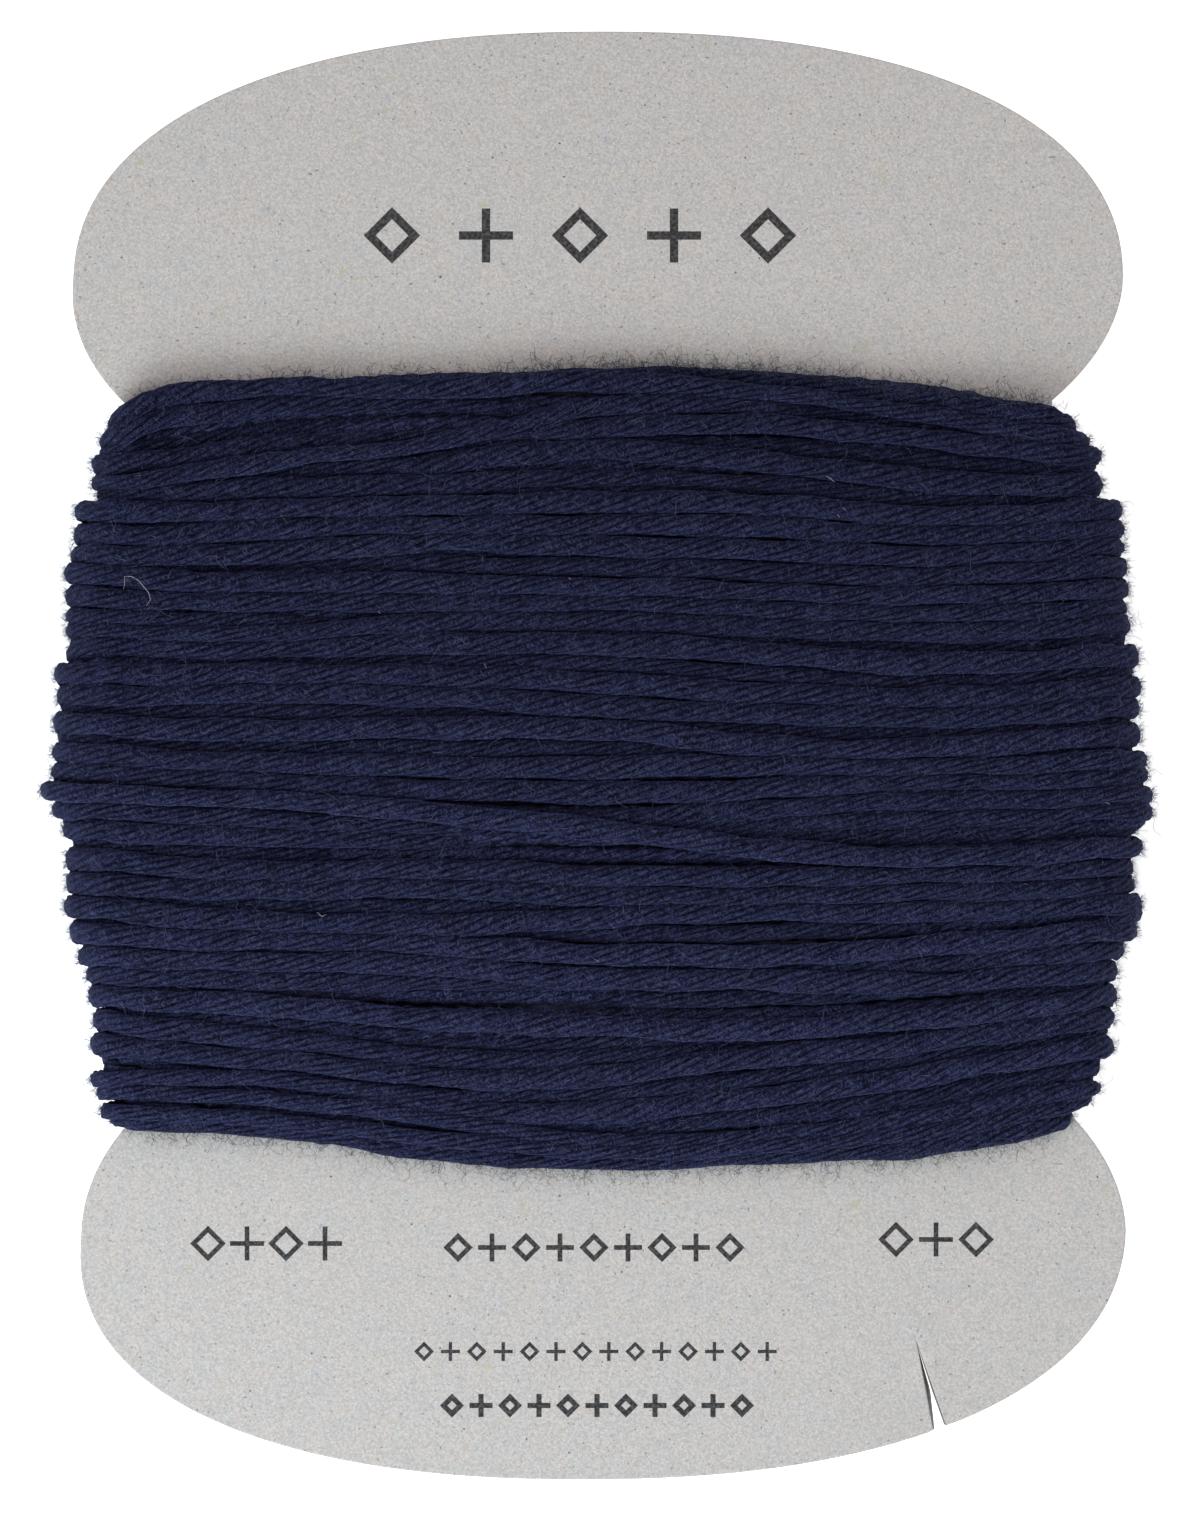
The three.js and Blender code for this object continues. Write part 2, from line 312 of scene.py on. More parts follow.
def noise_colour(tree, place, scale, detail, low, high, distortion=0.0):
    """A noise spread between two ends of a scale, as one value from 0 to 1."""
    grain = add_node(tree, "ShaderNodeTexNoise", {"Vector": place, "Scale": scale, "Detail": detail})
    grain.inputs["Distortion"].default_value = distortion
    return spread_out(tree, grain.outputs["Fac"], low, high)


def mix_colour(tree, share, first, second, blend="MIX"):
    """Two colours mixed by a share, which is a number or a node's output."""
    made = add_node(tree, "ShaderNodeMix", data_type="RGBA", blend_type=blend)
    for key, value in ((0, share), (6, first), (7, second)):
        if isinstance(value, bpy.types.NodeSocket):
            tree.links.new(value, made.inputs[key])
        else:
            made.inputs[key].default_value = value
    return made.outputs[2]


def number_of(tree, operation, *values):
    """One step of arithmetic in a tree, with one, two or three values."""
    return result_of(tree, "ShaderNodeMath", dict(enumerate(values)), operation=operation)


def vector_of(tree, operation, first, second=None):
    """One step of vector arithmetic in a tree."""
    key = 3 if operation == "SCALE" else 1
    values = {0: first} if second is None else {0: first, key: second}
    return result_of(tree, "ShaderNodeVectorMath", values, operation=operation)


def strewn_fibres(tree, place, turn, thickness, length):
    """Short fibres that lie across a surface in one direction, as a pattern from 0 to 1."""
    lie = {"Vector": place, "Axis": (0.25, 0.15, 1), "Angle": turn}
    turned = result_of(tree, "ShaderNodeVectorRotate", lie)
    stretch = (1 / (length * MM), 1 / (thickness * MM), 1 / (thickness * MM))
    return noise_colour(tree, vector_of(tree, "MULTIPLY", turned, stretch), 1.0, 1, 0.56, 0.74)


def board_material():
    """Recycled grey board: warm and cool pulp, fine grain, specks of dark, yellow and blue fibre, and painted
    shade on its cut faces.
    """
    material, tree, shader = new_material("recycled_board", {"Roughness": 0.92, "Specular IOR Level": 0.15})
    place = add_node(tree, "ShaderNodeTexCoord").outputs["Object"]
    cloud = noise_colour(tree, place, 1000, 4, 0.38, 0.62)
    colour = mix_colour(tree, cloud, (0.556, 0.529, 0.527, 1), (0.610, 0.539, 0.509, 1))
    grain = noise_colour(tree, place, 6400, 3, 0.36, 0.64)
    colour = mix_colour(tree, grain, (0.464, 0.434, 0.423, 1), colour)
    pale = noise_colour(tree, place, 10500, 1, 0.52, 0.70)
    colour = mix_colour(tree, pale, colour, (0.655, 0.608, 0.585, 1))
    pulp = strewn_fibres(tree, place, 0.9, 0.08, 0.4)
    colour = mix_colour(tree, number_of(tree, "MULTIPLY", pulp, 0.30), colour, (0.30, 0.30, 0.315, 1))
    faint_dots = noise_colour(tree, place, 6000, 0, 0.24, 0.15)
    colour = mix_colour(tree, faint_dots, colour, (0.28, 0.255, 0.245, 1))
    dots = noise_colour(tree, place, 4200, 0, 0.165, 0.115)
    colour = mix_colour(tree, dots, colour, (0.14, 0.135, 0.14, 1))
    yellow = noise_colour(tree, place, 1300, 1, 0.70, 0.82, 1.5)
    colour = mix_colour(tree, yellow, colour, (0.50, 0.46, 0.33, 1))
    blue = noise_colour(tree, place, 1700, 1, 0.26, 0.18, 1.5)
    colour = mix_colour(tree, blue, colour, (0.34, 0.39, 0.45, 1))
    # The steep cut faces are painted near black: partly the duller grey of the torn board's core, mostly
    # painted shade, as down in the narrow slit.
    upright = add_node(tree, "ShaderNodeNewGeometry").outputs["Normal"]
    steep = number_of(tree, "ABSOLUTE", add_node(tree, "ShaderNodeSeparateXYZ", {0: upright}).outputs["Z"])
    cut_face_shade = spread_out(tree, steep, 0.75, 0.35, 0.0, 0.75)
    colour = mix_colour(tree, cut_face_shade, colour, (0.09, 0.085, 0.08, 1))
    tree.links.new(colour, shader["Base Color"])
    uneven = {"Vector": place, "Scale": 3200, "Detail": 4}
    height = add_node(tree, "ShaderNodeTexNoise", uneven).outputs["Fac"]
    relief = {"Height": height, "Strength": 0.25, "Distance": 0.03 * MM}
    tree.links.new(result_of(tree, "ShaderNodeBump", relief), shader["Normal"])
    return material


board_mesh.materials.append(board_material())
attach(thread_card, "root")
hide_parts("card")

# The printed marks: rows of plain crosses and lozenges in thin grey ink on the two lobes.
# They stand where the real card is printed, and they spell nothing.
MARK_ROWS = (
    dict(left=-10.4, middle_y=26.0, count=5, pitch=4.7, size=2.7, stroke=0.42),
    dict(left=-19.6, middle_y=-24.4, count=4, pitch=1.95, size=1.7, stroke=0.24),
    dict(left=-7.1, middle_y=-24.6, count=9, pitch=1.7, size=1.4, stroke=0.24),
    dict(left=14.8, middle_y=-24.2, count=3, pitch=2.0, size=1.7, stroke=0.24),
    dict(left=-8.8, middle_y=-29.8, count=14, pitch=1.32, size=0.95, stroke=0.17),
    dict(left=-7.4, middle_y=-32.5, count=11, pitch=1.45, size=1.15, stroke=0.26),
)
INK_LIFT = 0.004
LOZENGE_SIDE = 0.74


def new_tree(name, sizes):
    """Starts a Geometry Nodes tree with named inputs, and gives the tree, its input node and output."""
    tree = bpy.data.node_groups.new(name, "GeometryNodeTree")
    tree.interface.new_socket("Geometry", in_out="INPUT", socket_type="NodeSocketGeometry")
    tree.interface.new_socket("Geometry", in_out="OUTPUT", socket_type="NodeSocketGeometry")
    for label, kind in sizes.items():
        tree.interface.new_socket(label, in_out="INPUT", socket_type=kind)
    return tree, tree.nodes.new("NodeGroupInput").outputs, tree.nodes.new("NodeGroupOutput").inputs


def grown(name, tree, mesh, values):
    """Runs a Geometry Nodes tree on a mesh, and gives the result as a plain object."""
    guide = put_in_scene(name + "_guide", mesh)
    modifier = guide.modifiers.new("grow", "NODES")
    modifier.node_group = tree
    for item in tree.interface.items_tree:
        if item.in_out == "INPUT" and item.name in values:
            modifier[item.identifier] = values[item.name]
    seen = guide.evaluated_get(bpy.context.evaluated_depsgraph_get())
    made = put_in_scene(name, bpy.data.meshes.new_from_object(seen))
    made.data.name = name
    made.data.materials.clear()
    made.data.materials.append(values["Material"])
    made.data.polygons.foreach_set("material_index", [0] * len(made.data.polygons))
    bpy.data.objects.remove(guide)
    return made


FLOAT = "NodeSocketFloat"
WHOLE = "NodeSocketInt"
MATERIAL = "NodeSocketMaterial"


def finish_tree(tree, mesh, sizes, result):
    """Ends a tree in plain mesh with its material."""
    plain = result_of(tree, "GeometryNodeRealizeInstances", {0: mesh})
    painted = result_of(tree, "GeometryNodeSetMaterial", {0: plain, 2: sizes["Material"]})
    tree.links.new(painted, result[0])


def mark_tree():
    """Geometry Nodes that stamp a cross on every second point of a row and a lozenge on the others."""
    tree, sizes, result = new_tree("printed marks", {"Size": FLOAT, "Stroke": FLOAT, "Material": MATERIAL})

    def bar(width, height, reach=None):
        line = result_of(tree, "GeometryNodeCurvePrimitiveQuadrilateral", {"Width": width, "Height": height})
        if reach is not None:
            aside = result_of(tree, "ShaderNodeCombineXYZ", {1: reach})
            line = result_of(tree, "GeometryNodeTransform", {0: line, "Translation": aside})
        return line

    def filled(*lines):
        together = add_node(tree, "GeometryNodeJoinGeometry")
        for line in lines:
            tree.links.new(line, together.inputs[0])
        return result_of(tree, "GeometryNodeFillCurve", {0: together.outputs[0]})

    size, stroke = sizes["Size"], sizes["Stroke"]
    arm = number_of(tree, "MULTIPLY", number_of(tree, "SUBTRACT", size, stroke), 0.5)
    reach = number_of(tree, "MULTIPLY", number_of(tree, "ADD", size, stroke), 0.25)
    cross = add_node(tree, "GeometryNodeJoinGeometry")
    below = number_of(tree, "MULTIPLY", reach, -1)
    for piece in (bar(size, stroke), bar(stroke, arm, reach), bar(stroke, arm, below)):
        tree.links.new(filled(piece), cross.inputs[0])
    side = number_of(tree, "MULTIPLY", size, LOZENGE_SIDE)
    hole = number_of(tree, "SUBTRACT", side, number_of(tree, "MULTIPLY", stroke, 2.0))
    lozenge = filled(bar(side, side), bar(hole, hole))
    lozenge = result_of(tree, "GeometryNodeTransform", {0: lozenge, "Rotation": (0, 0, math.pi / 4)})
    kinds = add_node(tree, "GeometryNodeGeometryToInstance")
    tree.links.new(cross.outputs[0], kinds.inputs[0])
    tree.links.new(lozenge, kinds.inputs[0])
    which = number_of(tree, "MODULO", result_of(tree, "GeometryNodeInputIndex"), 2.0)
    placed = result_of(tree, "GeometryNodeInstanceOnPoints", {
        0: sizes["Geometry"], "Instance": kinds.outputs[0], "Pick Instance": True, "Instance Index": which,
    })
    finish_tree(tree, placed, sizes, result)
    return tree


def ink_material():
    """Thin dark grey ink that lets a little of the board's grain through."""
    material, tree, shader = new_material("grey_ink", {"Roughness": 0.8, "Specular IOR Level": 0.2})
    place = add_node(tree, "ShaderNodeTexCoord").outputs["Object"]
    worn = noise_colour(tree, place, 6500, 2, 0.40, 0.75)
    colour = mix_colour(tree, worn, (0.028, 0.026, 0.028, 1), (0.11, 0.105, 0.105, 1))
    tree.links.new(colour, shader["Base Color"])
    return material


ink = ink_material()
plain_marks = mark_tree()
for number, row in enumerate(MARK_ROWS, 1):
    places = []
    for at in range(row["count"]):
        x = row["left"] + row["pitch"] * at
        places.append((x * MM, row["middle_y"] * MM, card_high[2] + INK_LIFT * MM))
    mark_mesh = bpy.data.meshes.new("marks")
    mark_mesh.from_pydata(places, [], [])
    mark_sizes = {"Size": row["size"] * MM, "Stroke": row["stroke"] * MM, "Material": ink}
    marks = grown(f"printed_marks_{number}", plain_marks, mark_mesh, mark_sizes)
    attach(marks, "root")

# The thread: soft eight-ply cotton, about a millimetre wide, wound in turns round the card's waist.
# Each row below is one turn that shows, as the photo rows it crosses at seven places from left to right.
# Its level says how it lies at the left and at the right: 2 on top, 1 in the outer layer, 0 or less sunk.
TURN_PLACES = (-24, -16, -8, 0, 8, 16, 24)
TURNS = (
    ((402, 391, 387, 374, 379, 399, 419), (-0.2, 0.8)),
    ((399, 388, 389, 382, 392, 415, 438), (1.0, 1.0)),
    ((422, 406, 403, 414, 424, 438, 454), (1.2, -1.0)),
    ((448, 427, 417, 416, 426, 442, 457), (-1.0, -1.0)),
    ((463, 445, 435, 429, 424, 440, 455), (1.0, 1.0)),
    ((483, 462, 442, 408, 406, 425, 447), (1.8, 0.3)),
    ((482, 466, 452, 441, 445, 459, 469), (-0.5, -0.6)),
    ((489, 470, 463, 450, 462, 481, 487), (0.4, 1.0)),
    ((496, 487, 485, 477, 484, 498, 499), (1.0, -0.3)),
    ((515, 509, 507, 502, 506, 516, 515), (1.1, 1.1)),
    ((538, 529, 526, 525, 528, 535, 534), (1.0, 1.0)),
    ((558, 552, 543, 546, 551, 556, 552), (1.0, 1.0)),
    ((562, 562, 564, 567, 572, 577, 572), (0.0, 1.0)),
    ((578, 584, 584, 587, 592, 596, 594), (1.0, 1.0)),
    ((600, 603, 603, 603, 609, 614, 612), (1.0, 1.0)),
    ((619, 621, 617, 612, 617, 622, 620), (1.0, -1.0)),
    ((633, 633, 623, 621, 628, 632, 630), (1.0, 1.0)),
    ((640, 640, 634, 633, 643, 647, 646), (-0.5, 0.3)),
    ((648, 649, 644, 644, 654, 663, 661), (1.0, 1.0)),
    ((662, 664, 661, 663, 675, 681, 677), (0.2, 0.2)),
    ((677, 673, 677, 682, 694, 697, 693), (1.0, 1.0)),
    ((698, 692, 698, 706, 714, 717, 713), (1.0, 1.0)),
    ((711, 711, 712, 719, 730, 733, 728), (0.1, 0.1)),
    ((727, 731, 727, 730, 745, 748, 740), (1.0, 1.0)),
    ((742, 747, 748, 748, 756, 757, 753), (0.1, 0.0)),
    ((757, 763, 767, 767, 766, 766, 765), (1.0, 1.0)),
    ((775, 783, 789, 793, 788, 782, 781), (1.0, 1.0)),
    ((795, 801, 812, 830, 847, 858, 852), (2.0, 2.0)),
    ((796, 802, 812, 817, 810, 800, 800), (0.0, 1.0)),
    ((797, 803, 814, 828, 826, 819, 818), (-0.5, 1.0)),
    ((798, 804, 816, 832, 837, 835, 833), (-1.0, 1.0)),
    ((813, 819, 828, 838, 848, 858, 852), (1.0, -1.0)),
    ((832, 838, 840, 842, 850, 860, 854), (1.0, -1.2)),
    ((846, 855, 850, 848, 852, 862, 858), (0.2, -1.4)),
    ((863, 871, 869, 875, 877, 874, 872), (1.0, 1.0)),
    ((886, 890, 887, 896, 895, 893, 890), (1.0, 1.0)),
    ((900, 905, 907, 905, 903, 902, 900), (0.2, -1.0)),
    ((911, 922, 924, 917, 912, 912, 909), (1.0, 1.0)),
    ((915, 926, 930, 934, 932, 928, 918), (0.0, 0.0)),
    ((936, 941, 944, 954, 955, 946, 935), (1.0, 1.0)),
    ((940, 946, 950, 960, 966, 965, 954), (-1.0, 0.8)),
    ((959, 961, 966, 978, 980, 982, 975), (1.0, 1.0)),
    ((977, 980, 983, 986, 986, 988, 980), (1.0, -1.0)),
    ((985, 989, 995, 1000, 998, 990, 983), (0.0, 0.0)),
    ((998, 1006, 1018, 1026, 1028, 1018, 1001), (1.4, 1.4)),
    ((1013, 1021, 1028, 1034, 1036, 1028, 1010), (0.3, -1.0)),
    ((1018, 1030, 1041, 1043, 1042, 1032, 1014), (0.0, 0.0)),
    ((1024, 1040, 1058, 1057, 1048, 1036, 1016), (1.0, -0.5)),
    ((1047, 1060, 1077, 1075, 1056, 1042, 1023), (1.0, 1.0)),
    ((1076, 1080, 1096, 1094, 1078, 1058, 1036), (1.1, -0.5)),
    ((1083, 1090, 1107, 1112, 1096, 1075, 1051), (0.6, 1.0)),
    ((1089, 1097, 1115, 1128, 1116, 1095, 1070), (0.6, -0.6)),
    ((1091, 1099, 1120, 1141, 1137, 1117, 1091), (1.0, 1.0)),
    ((1112, 1121, 1138, 1152, 1146, 1133, 1105), (1.1, 1.0)),
    ((1121, 1131, 1152, 1163, 1156, 1148, 1120), (0.9, 1.0)),
)
# How far the winding reaches to the left and to the right at each height, in mm.
EDGE_REACH = (
    (20.0, 22.9, 21.9),
    (17.6, 24.2, 22.5),
    (16.6, 24.8, 23.8),
    (15.6, 24.8, 24.6),
    (14.7, 25.6, 25.55),
    (13.5, 25.3, 25.0),
    (12.2, 26.15, 26.1),
    (9.1, 26.8, 26.5),
    (6.6, 26.85, 26.6),
    (4.1, 27.2, 27.1),
    (0.5, 27.45, 26.95),
    (-1.6, 27.75, 27.85),
    (-2.7, 27.4, 28.05),
    (-4.2, 26.8, 26.95),
    (-6.3, 26.8, 26.65),
    (-7.7, 26.75, 27.5),
    (-10.0, 26.15, 26.1),
    (-11.7, 25.4, 25.85),
    (-14.1, 25.45, 25.85),
    (-16.4, 25.4, 25.2),
    (-17.1, 25.5, 24.8),
    (-18.1, 24.8, 23.8),
    (-20.5, 23.9, 22.8),
)
# How deep the winding is in front of the card and behind it at each height, in mm.
PILE_DEPTHS = (
    (20.0, 1.3, 1.3),
    (19.0, 1.5, 1.5),
    (11.8, 2.5, 2.4),
    (5.9, 2.85, 2.9),
    (3.0, 2.95, 3.15),
    (0.5, 3.05, 3.3),
    (-2.0, 3.1, 3.3),
    (-6.3, 2.9, 3.1),
    (-10.0, 2.7, 2.75),
    (-12.0, 2.4, 2.45),
    (-15.0, 2.0, 2.1),
    (-19.6, 1.5, 1.5),
    (-20.5, 1.3, 1.3),
)
# How much a turn rises towards its left and its right end at each height, in mm.
EDGE_RISES = (
    (17.7, -1.85, -1.1),
    (16.5, -1.15, -0.5),
    (15.2, -0.3, -0.1),
    (14.4, 0.0, 0.1),
    (12.0, 0.15, 0.25),
    (-14.0, 0.15, 0.25),
    (-15.8, -0.2, 0.2),
    (-16.8, -0.1, 0.1),
    (-18.0, 0.1, 0.5),
)
TURN_LIMIT = 24.5
RISE_FROM = 18.0
RISE_OVER = 7.0
END_BEND = 0.6
PAST_END = 0.5
SLOPE_SPAN = 0.6
THREAD_HALF_WIDTH = 0.5
THREAD_HALF_DEPTH = 0.35
NARROWEST = 0.40
WIDEST = 0.57
SUNK_WIDTH = 0.44
ROOM_SHARE = 0.505
MOST_ROOM = 1.15
KNOB_DEPTH = 0.06
KNOB_NARROWING = -0.06
EDGE_FALL = 1.3
KNOB_JITTER = 0.16
EDGE_SINKING = 0.65
RAISED = 0.26
SUNK = 0.28
SUNK_SHADE = 0.18
DEEPEST_SHADED = -1.4
HIGHEST_SHADED = 0.5
TABLE_CLEARANCE = 1.02
SWELL = 0.05
SWAY = 0.042
WAVE_PACES = (0.71, 1.63, 0.53, 1.31)
PILE_CROWN = 0.14
EDGE_ROUNDING = 0.92
FACE_STATIONS = 34
EDGE_STATIONS = 9
BACK_STATIONS = 18
TOUCHING = 0.98
SAME_LEVEL = 0.3
SAME_LEVEL_STACK = 0.35
OUTER_LEVEL = 0.5
BACK_WANDER = 0.25
BACK_BOW = 1.7
BACK_BOW_AT = 17.0
LUMP_GRAIN = (2600, 2600, 420)
face_level = card_high[2] / MM
back_level = card_low[2] / MM


def between(rows, height, column):
    """A value from a table whose first column falls from row to row."""
    if height >= rows[0][0]:
        return rows[0][column]
    for above, below in zip(rows, rows[1:]):
        if height >= below[0]:
            share = (above[0] - height) / (above[0] - below[0])
            return above[column] + share * (below[column] - above[column])
    return rows[-1][column]


def smooth_through(places, values, at):
    """A smooth curve through a row of values, taken at one place and carried on past the ends."""
    last = len(places) - 2
    spot = 0
    while spot < last and at > places[spot + 1]:
        spot += 1
    run = places[spot + 1] - places[spot]
    share = max(-PAST_END, min(1 + PAST_END, (at - places[spot]) / run))
    here, there = values[spot], values[spot + 1]
    before = values[spot - 1] if spot > 0 else here - (there - here) * END_BEND
    after = values[spot + 2] if spot < last else there + (there - here) * END_BEND
    out = (there - before) / 2
    into = (after - here) / 2
    cubic = (2 * here - 2 * there + out + into) * share ** 3
    square = (-3 * here + 3 * there - 2 * out - into) * share ** 2
    return cubic + square + out * share + here


def turn_height(rows, x):
    """How high on the card a turn crosses a place, in mm."""
    row = smooth_through(TURN_PLACES, rows, max(-TURN_LIMIT, min(TURN_LIMIT, x)))
    height = (PHOTO_MIDDLE_ROW - row) / PIXELS_A_MM
    past = max(0.0, min(1.0, (abs(x) - RISE_FROM) / RISE_OVER)) ** 4
    return height + between(EDGE_RISES, height, 1 if x < 0 else 2) * past


def lie_of_turn(heights, levels, sunk, chance):
    """One turn's way round the card: for each station its place, its outward side and its level."""
    left_reach = right_reach = WAIST_HALF
    for _ in range(6):
        left_reach = between(EDGE_REACH, heights(-left_reach), 1)
        right_reach = between(EDGE_REACH, heights(right_reach), 2)
    left_height = heights(-left_reach)
    right_height = heights(right_reach)
    wander = chance.uniform(-BACK_WANDER, BACK_WANDER)
    left_reach += chance.uniform(-KNOB_JITTER, KNOB_JITTER / 2) - sunk * EDGE_SINKING
    right_reach += chance.uniform(-KNOB_JITTER, KNOB_JITTER / 2) - sunk * EDGE_SINKING
    left_pile = pile_half(left_height) - sunk
    right_pile = pile_half(right_height) - sunk
    left_turn = -(left_reach - left_pile * EDGE_ROUNDING)
    right_turn = right_reach - right_pile * EDGE_ROUNDING
    ends = (left_turn, right_turn, left_height, right_height)
    back = [back_station(step, *ends, sunk, wander, levels) for step in range(BACK_STATIONS)]
    path = back[BACK_STATIONS // 2:]
    path += edge_stations(left_turn, heights, left_height, left_pile, -1, levels[0])
    for step in range(1, FACE_STATIONS):
        share = step / FACE_STATIONS
        x = left_turn + share * (right_turn - left_turn)
        y = heights(x)
        front = between(PILE_DEPTHS, y, 1)
        slope = between(PILE_DEPTHS, y + SLOPE_SPAN, 1) - between(PILE_DEPTHS, y - SLOPE_SPAN, 1)
        crown = PILE_CROWN * math.cos(math.pi * (share - 0.5)) - PILE_CROWN / 2
        z = face_level + front + crown - sunk - THREAD_HALF_DEPTH
        level = levels[0] + share * (levels[1] - levels[0])
        outward = Vector((0, -slope / (2 * SLOPE_SPAN), 1)).normalized()
        path.append((Vector((x, y, z)), outward, level))
    path += edge_stations(right_turn, heights, right_height, right_pile, 1, levels[1])
    return path + back[1:BACK_STATIONS // 2]


def pile_half(height):
    """Half the winding's depth at a height, with the card in it."""
    front = face_level + between(PILE_DEPTHS, height, 1)
    back = max(0.0, back_level - between(PILE_DEPTHS, height, 2))
    return (front - back) / 2


def edge_stations(turn, heights, height, pile, side, level):
    """The stations round one edge, from the face to the back on the right and back again on the left."""
    front = face_level + between(PILE_DEPTHS, height, 1)
    back = max(0.0, back_level - between(PILE_DEPTHS, height, 2))
    middle = (front + back) / 2
    wide = pile * EDGE_ROUNDING - THREAD_HALF_DEPTH
    deep = pile - THREAD_HALF_DEPTH
    stations = []
    for step in range(EDGE_STATIONS + 1):
        angle = math.pi / 2 - math.pi * step / EDGE_STATIONS
        angle *= side
        x = turn + side * wide * math.cos(angle)
        y = heights(x) if math.sin(angle) > 0 else height
        place = Vector((x, y, middle + deep * math.sin(angle)))
        outward = Vector((side * math.cos(angle), 0, math.sin(angle)))
        stations.append((place, outward, level))
    return stations


def back_station(step, left_turn, right_turn, left_height, right_height, sunk, wander, levels):
    """A station on the back, where the turn crosses under the card from right to left."""
    share = step / BACK_STATIONS
    x = right_turn + share * (left_turn - right_turn)
    y = right_height + share * (left_height - right_height)
    y += BACK_BOW * y * abs(y) / BACK_BOW_AT ** 2 * math.sin(math.pi * share)
    y += wander * math.sin(2 * math.pi * share) * math.sin(math.pi * share)
    z = max(0.0, back_level - between(PILE_DEPTHS, y, 2)) + sunk + THREAD_HALF_DEPTH
    level = levels[1] + share * (levels[0] - levels[1])
    return (Vector((x, y, z)), Vector((0, 0, -1)), level)


def lay_turns(turns):
    """Settles the outer turns on each other: where two crowd, the lower one sinks between its neighbours."""
    chance = random.Random(31)
    ways = []
    for rows, levels in turns:
        ways.append(lie_of_turn(lambda x, rows=rows: turn_height(rows, x), levels, 0.0, chance))
    settled = []
    stations = len(ways[0])
    drops = [[0.0] * stations for _ in ways]
    widths = [[THREAD_HALF_WIDTH] * stations for _ in ways]
    for at in range(stations):
        order = sorted(range(len(ways)), key=lambda number: -ways[number][at][2])
        for number in order:
            place, _, level = ways[number][at]
            lift = (RAISED if level > 1 else SUNK) * (level - 1)
            for other in order:
                if other == number:
                    break
                gap = abs(place.y - ways[other][at][0].y)
                if gap < TOUCHING:
                    stack = 2 * THREAD_HALF_DEPTH * math.sqrt(1 - (gap / TOUCHING) ** 2)
                    if abs(ways[other][at][2] - level) < SAME_LEVEL:
                        stack *= SAME_LEVEL_STACK
                    lift = min(lift, -drops[other][at] - stack)
            drops[number][at] = -lift
            beside = [way[at][0].y - place.y for way in ways if way[at][2] > OUTER_LEVEL]
            above = min([gap for gap in beside if gap > 0] + [MOST_ROOM])
            below = min([-gap for gap in beside if gap < 0] + [MOST_ROOM])
            widths[number][at] = max(NARROWEST, min(WIDEST, (above + below) / 2 * ROOM_SHARE))
            if level <= OUTER_LEVEL:
                widths[number][at] = SUNK_WIDTH
    for way, drop, width in zip(ways, drops, widths):
        count = len(way)
        turn = []
        phases = [chance.uniform(0, 2 * math.pi) for _ in WAVE_PACES]
        for at, (place, outward, level) in enumerate(way):
            waves = [math.sin(at * pace + phase) for pace, phase in zip(WAVE_PACES, phases)]
            near = [drop[(at + off) % count] for off in (-2, -1, 0, 1, 2)]
            eased = (near[0] + 2 * near[1] + 3 * near[2] + 2 * near[3] + near[4]) / 9
            wide = (width[at - 1] + width[at] + width[(at + 1) % count]) / 3
            wide *= 1 + SWELL * (waves[0] + waves[1])
            spot = place - outward * eased + Vector((0, SWAY * (waves[2] + waves[3]), 0))
            spot.z = max(spot.z, THREAD_HALF_DEPTH * TABLE_CLEARANCE)
            # Painted shade and light: a turn is painted darker the deeper it is sunk, and a little lighter
            # where it lies on top.
            shade = 1 + SUNK_SHADE * max(DEEPEST_SHADED, min(HIGHEST_SHADED, level - 1))
            turn.append((spot, outward, wide, shade))
        settled.append(turn)
    return settled


def edge_share(outward):
    """How far a place on a turn lies round the winding's edge: 0 on the faces, 1 at the very side."""
    return max(0.0, 1 - EDGE_FALL * abs(outward.z))


def half_depth(outward):
    """Half the thread's depth in mm, which is more where a turn bends round the edge."""
    return THREAD_HALF_DEPTH + KNOB_DEPTH * edge_share(outward)


def guide_mesh(name, turns, tints_and_shades):
    """One closed guide line for each turn, with the outward side, the width, and the tint with its painted
    shade on its points.
    """
    mesh = bpy.data.meshes.new(name)
    points, edges, outwards, halves, depths, shades = [], [], [], [], [], []
    for turn, tint_and_shade in zip(turns, tints_and_shades):
        first = len(points)
        for at, (place, outward, wide, shade) in enumerate(turn):
            points.append(place * MM)
            edges.append((first + at, first + (at + 1) % len(turn)))
            outwards += outward[:]
            halves.append(wide * (1 - KNOB_NARROWING * edge_share(outward)) * MM)
            depths.append(half_depth(outward) * MM)
            shades.append(tint_and_shade * shade)
    mesh.from_pydata(points, edges, [])
    mesh.attributes.new("outward", "FLOAT_VECTOR", "POINT").data.foreach_set("vector", outwards)
    for kept, values in (("half_width", halves), ("half_depth", depths), ("tint_and_shade", shades)):
        mesh.attributes.new(kept, "FLOAT", "POINT").data.foreach_set("value", values)
    return mesh


def named(tree, name, kind="FLOAT"):
    """A value kept on the guide's points."""
    return result_of(tree, "GeometryNodeInputNamedAttribute", {"Name": name}, data_type=kind)


def capture(tree, shape, values):
    """Keeps values on a curve's points, and gives the curve and what it keeps."""
    keeper = tree.nodes.new("GeometryNodeCaptureAttribute")
    for name, value in values.items():
        keeper.capture_items.new("VECTOR" if value.type == "VECTOR" else "FLOAT", name)
    tree.links.new(shape, keeper.inputs[0])
    for name, value in values.items():
        tree.links.new(value, keeper.inputs[name])
    return keeper.outputs[0], {name: keeper.outputs[name] for name in values}


def keep_named(tree, shape, name, value, kind="FLOAT"):
    """Stores a value by name on a mesh's points, for the material."""
    stored = add_node(tree, "GeometryNodeStoreNamedAttribute", {0: shape, "Name": name}, data_type=kind)
    tree.links.new(value, stored.inputs["Value"])
    return stored.outputs[0]


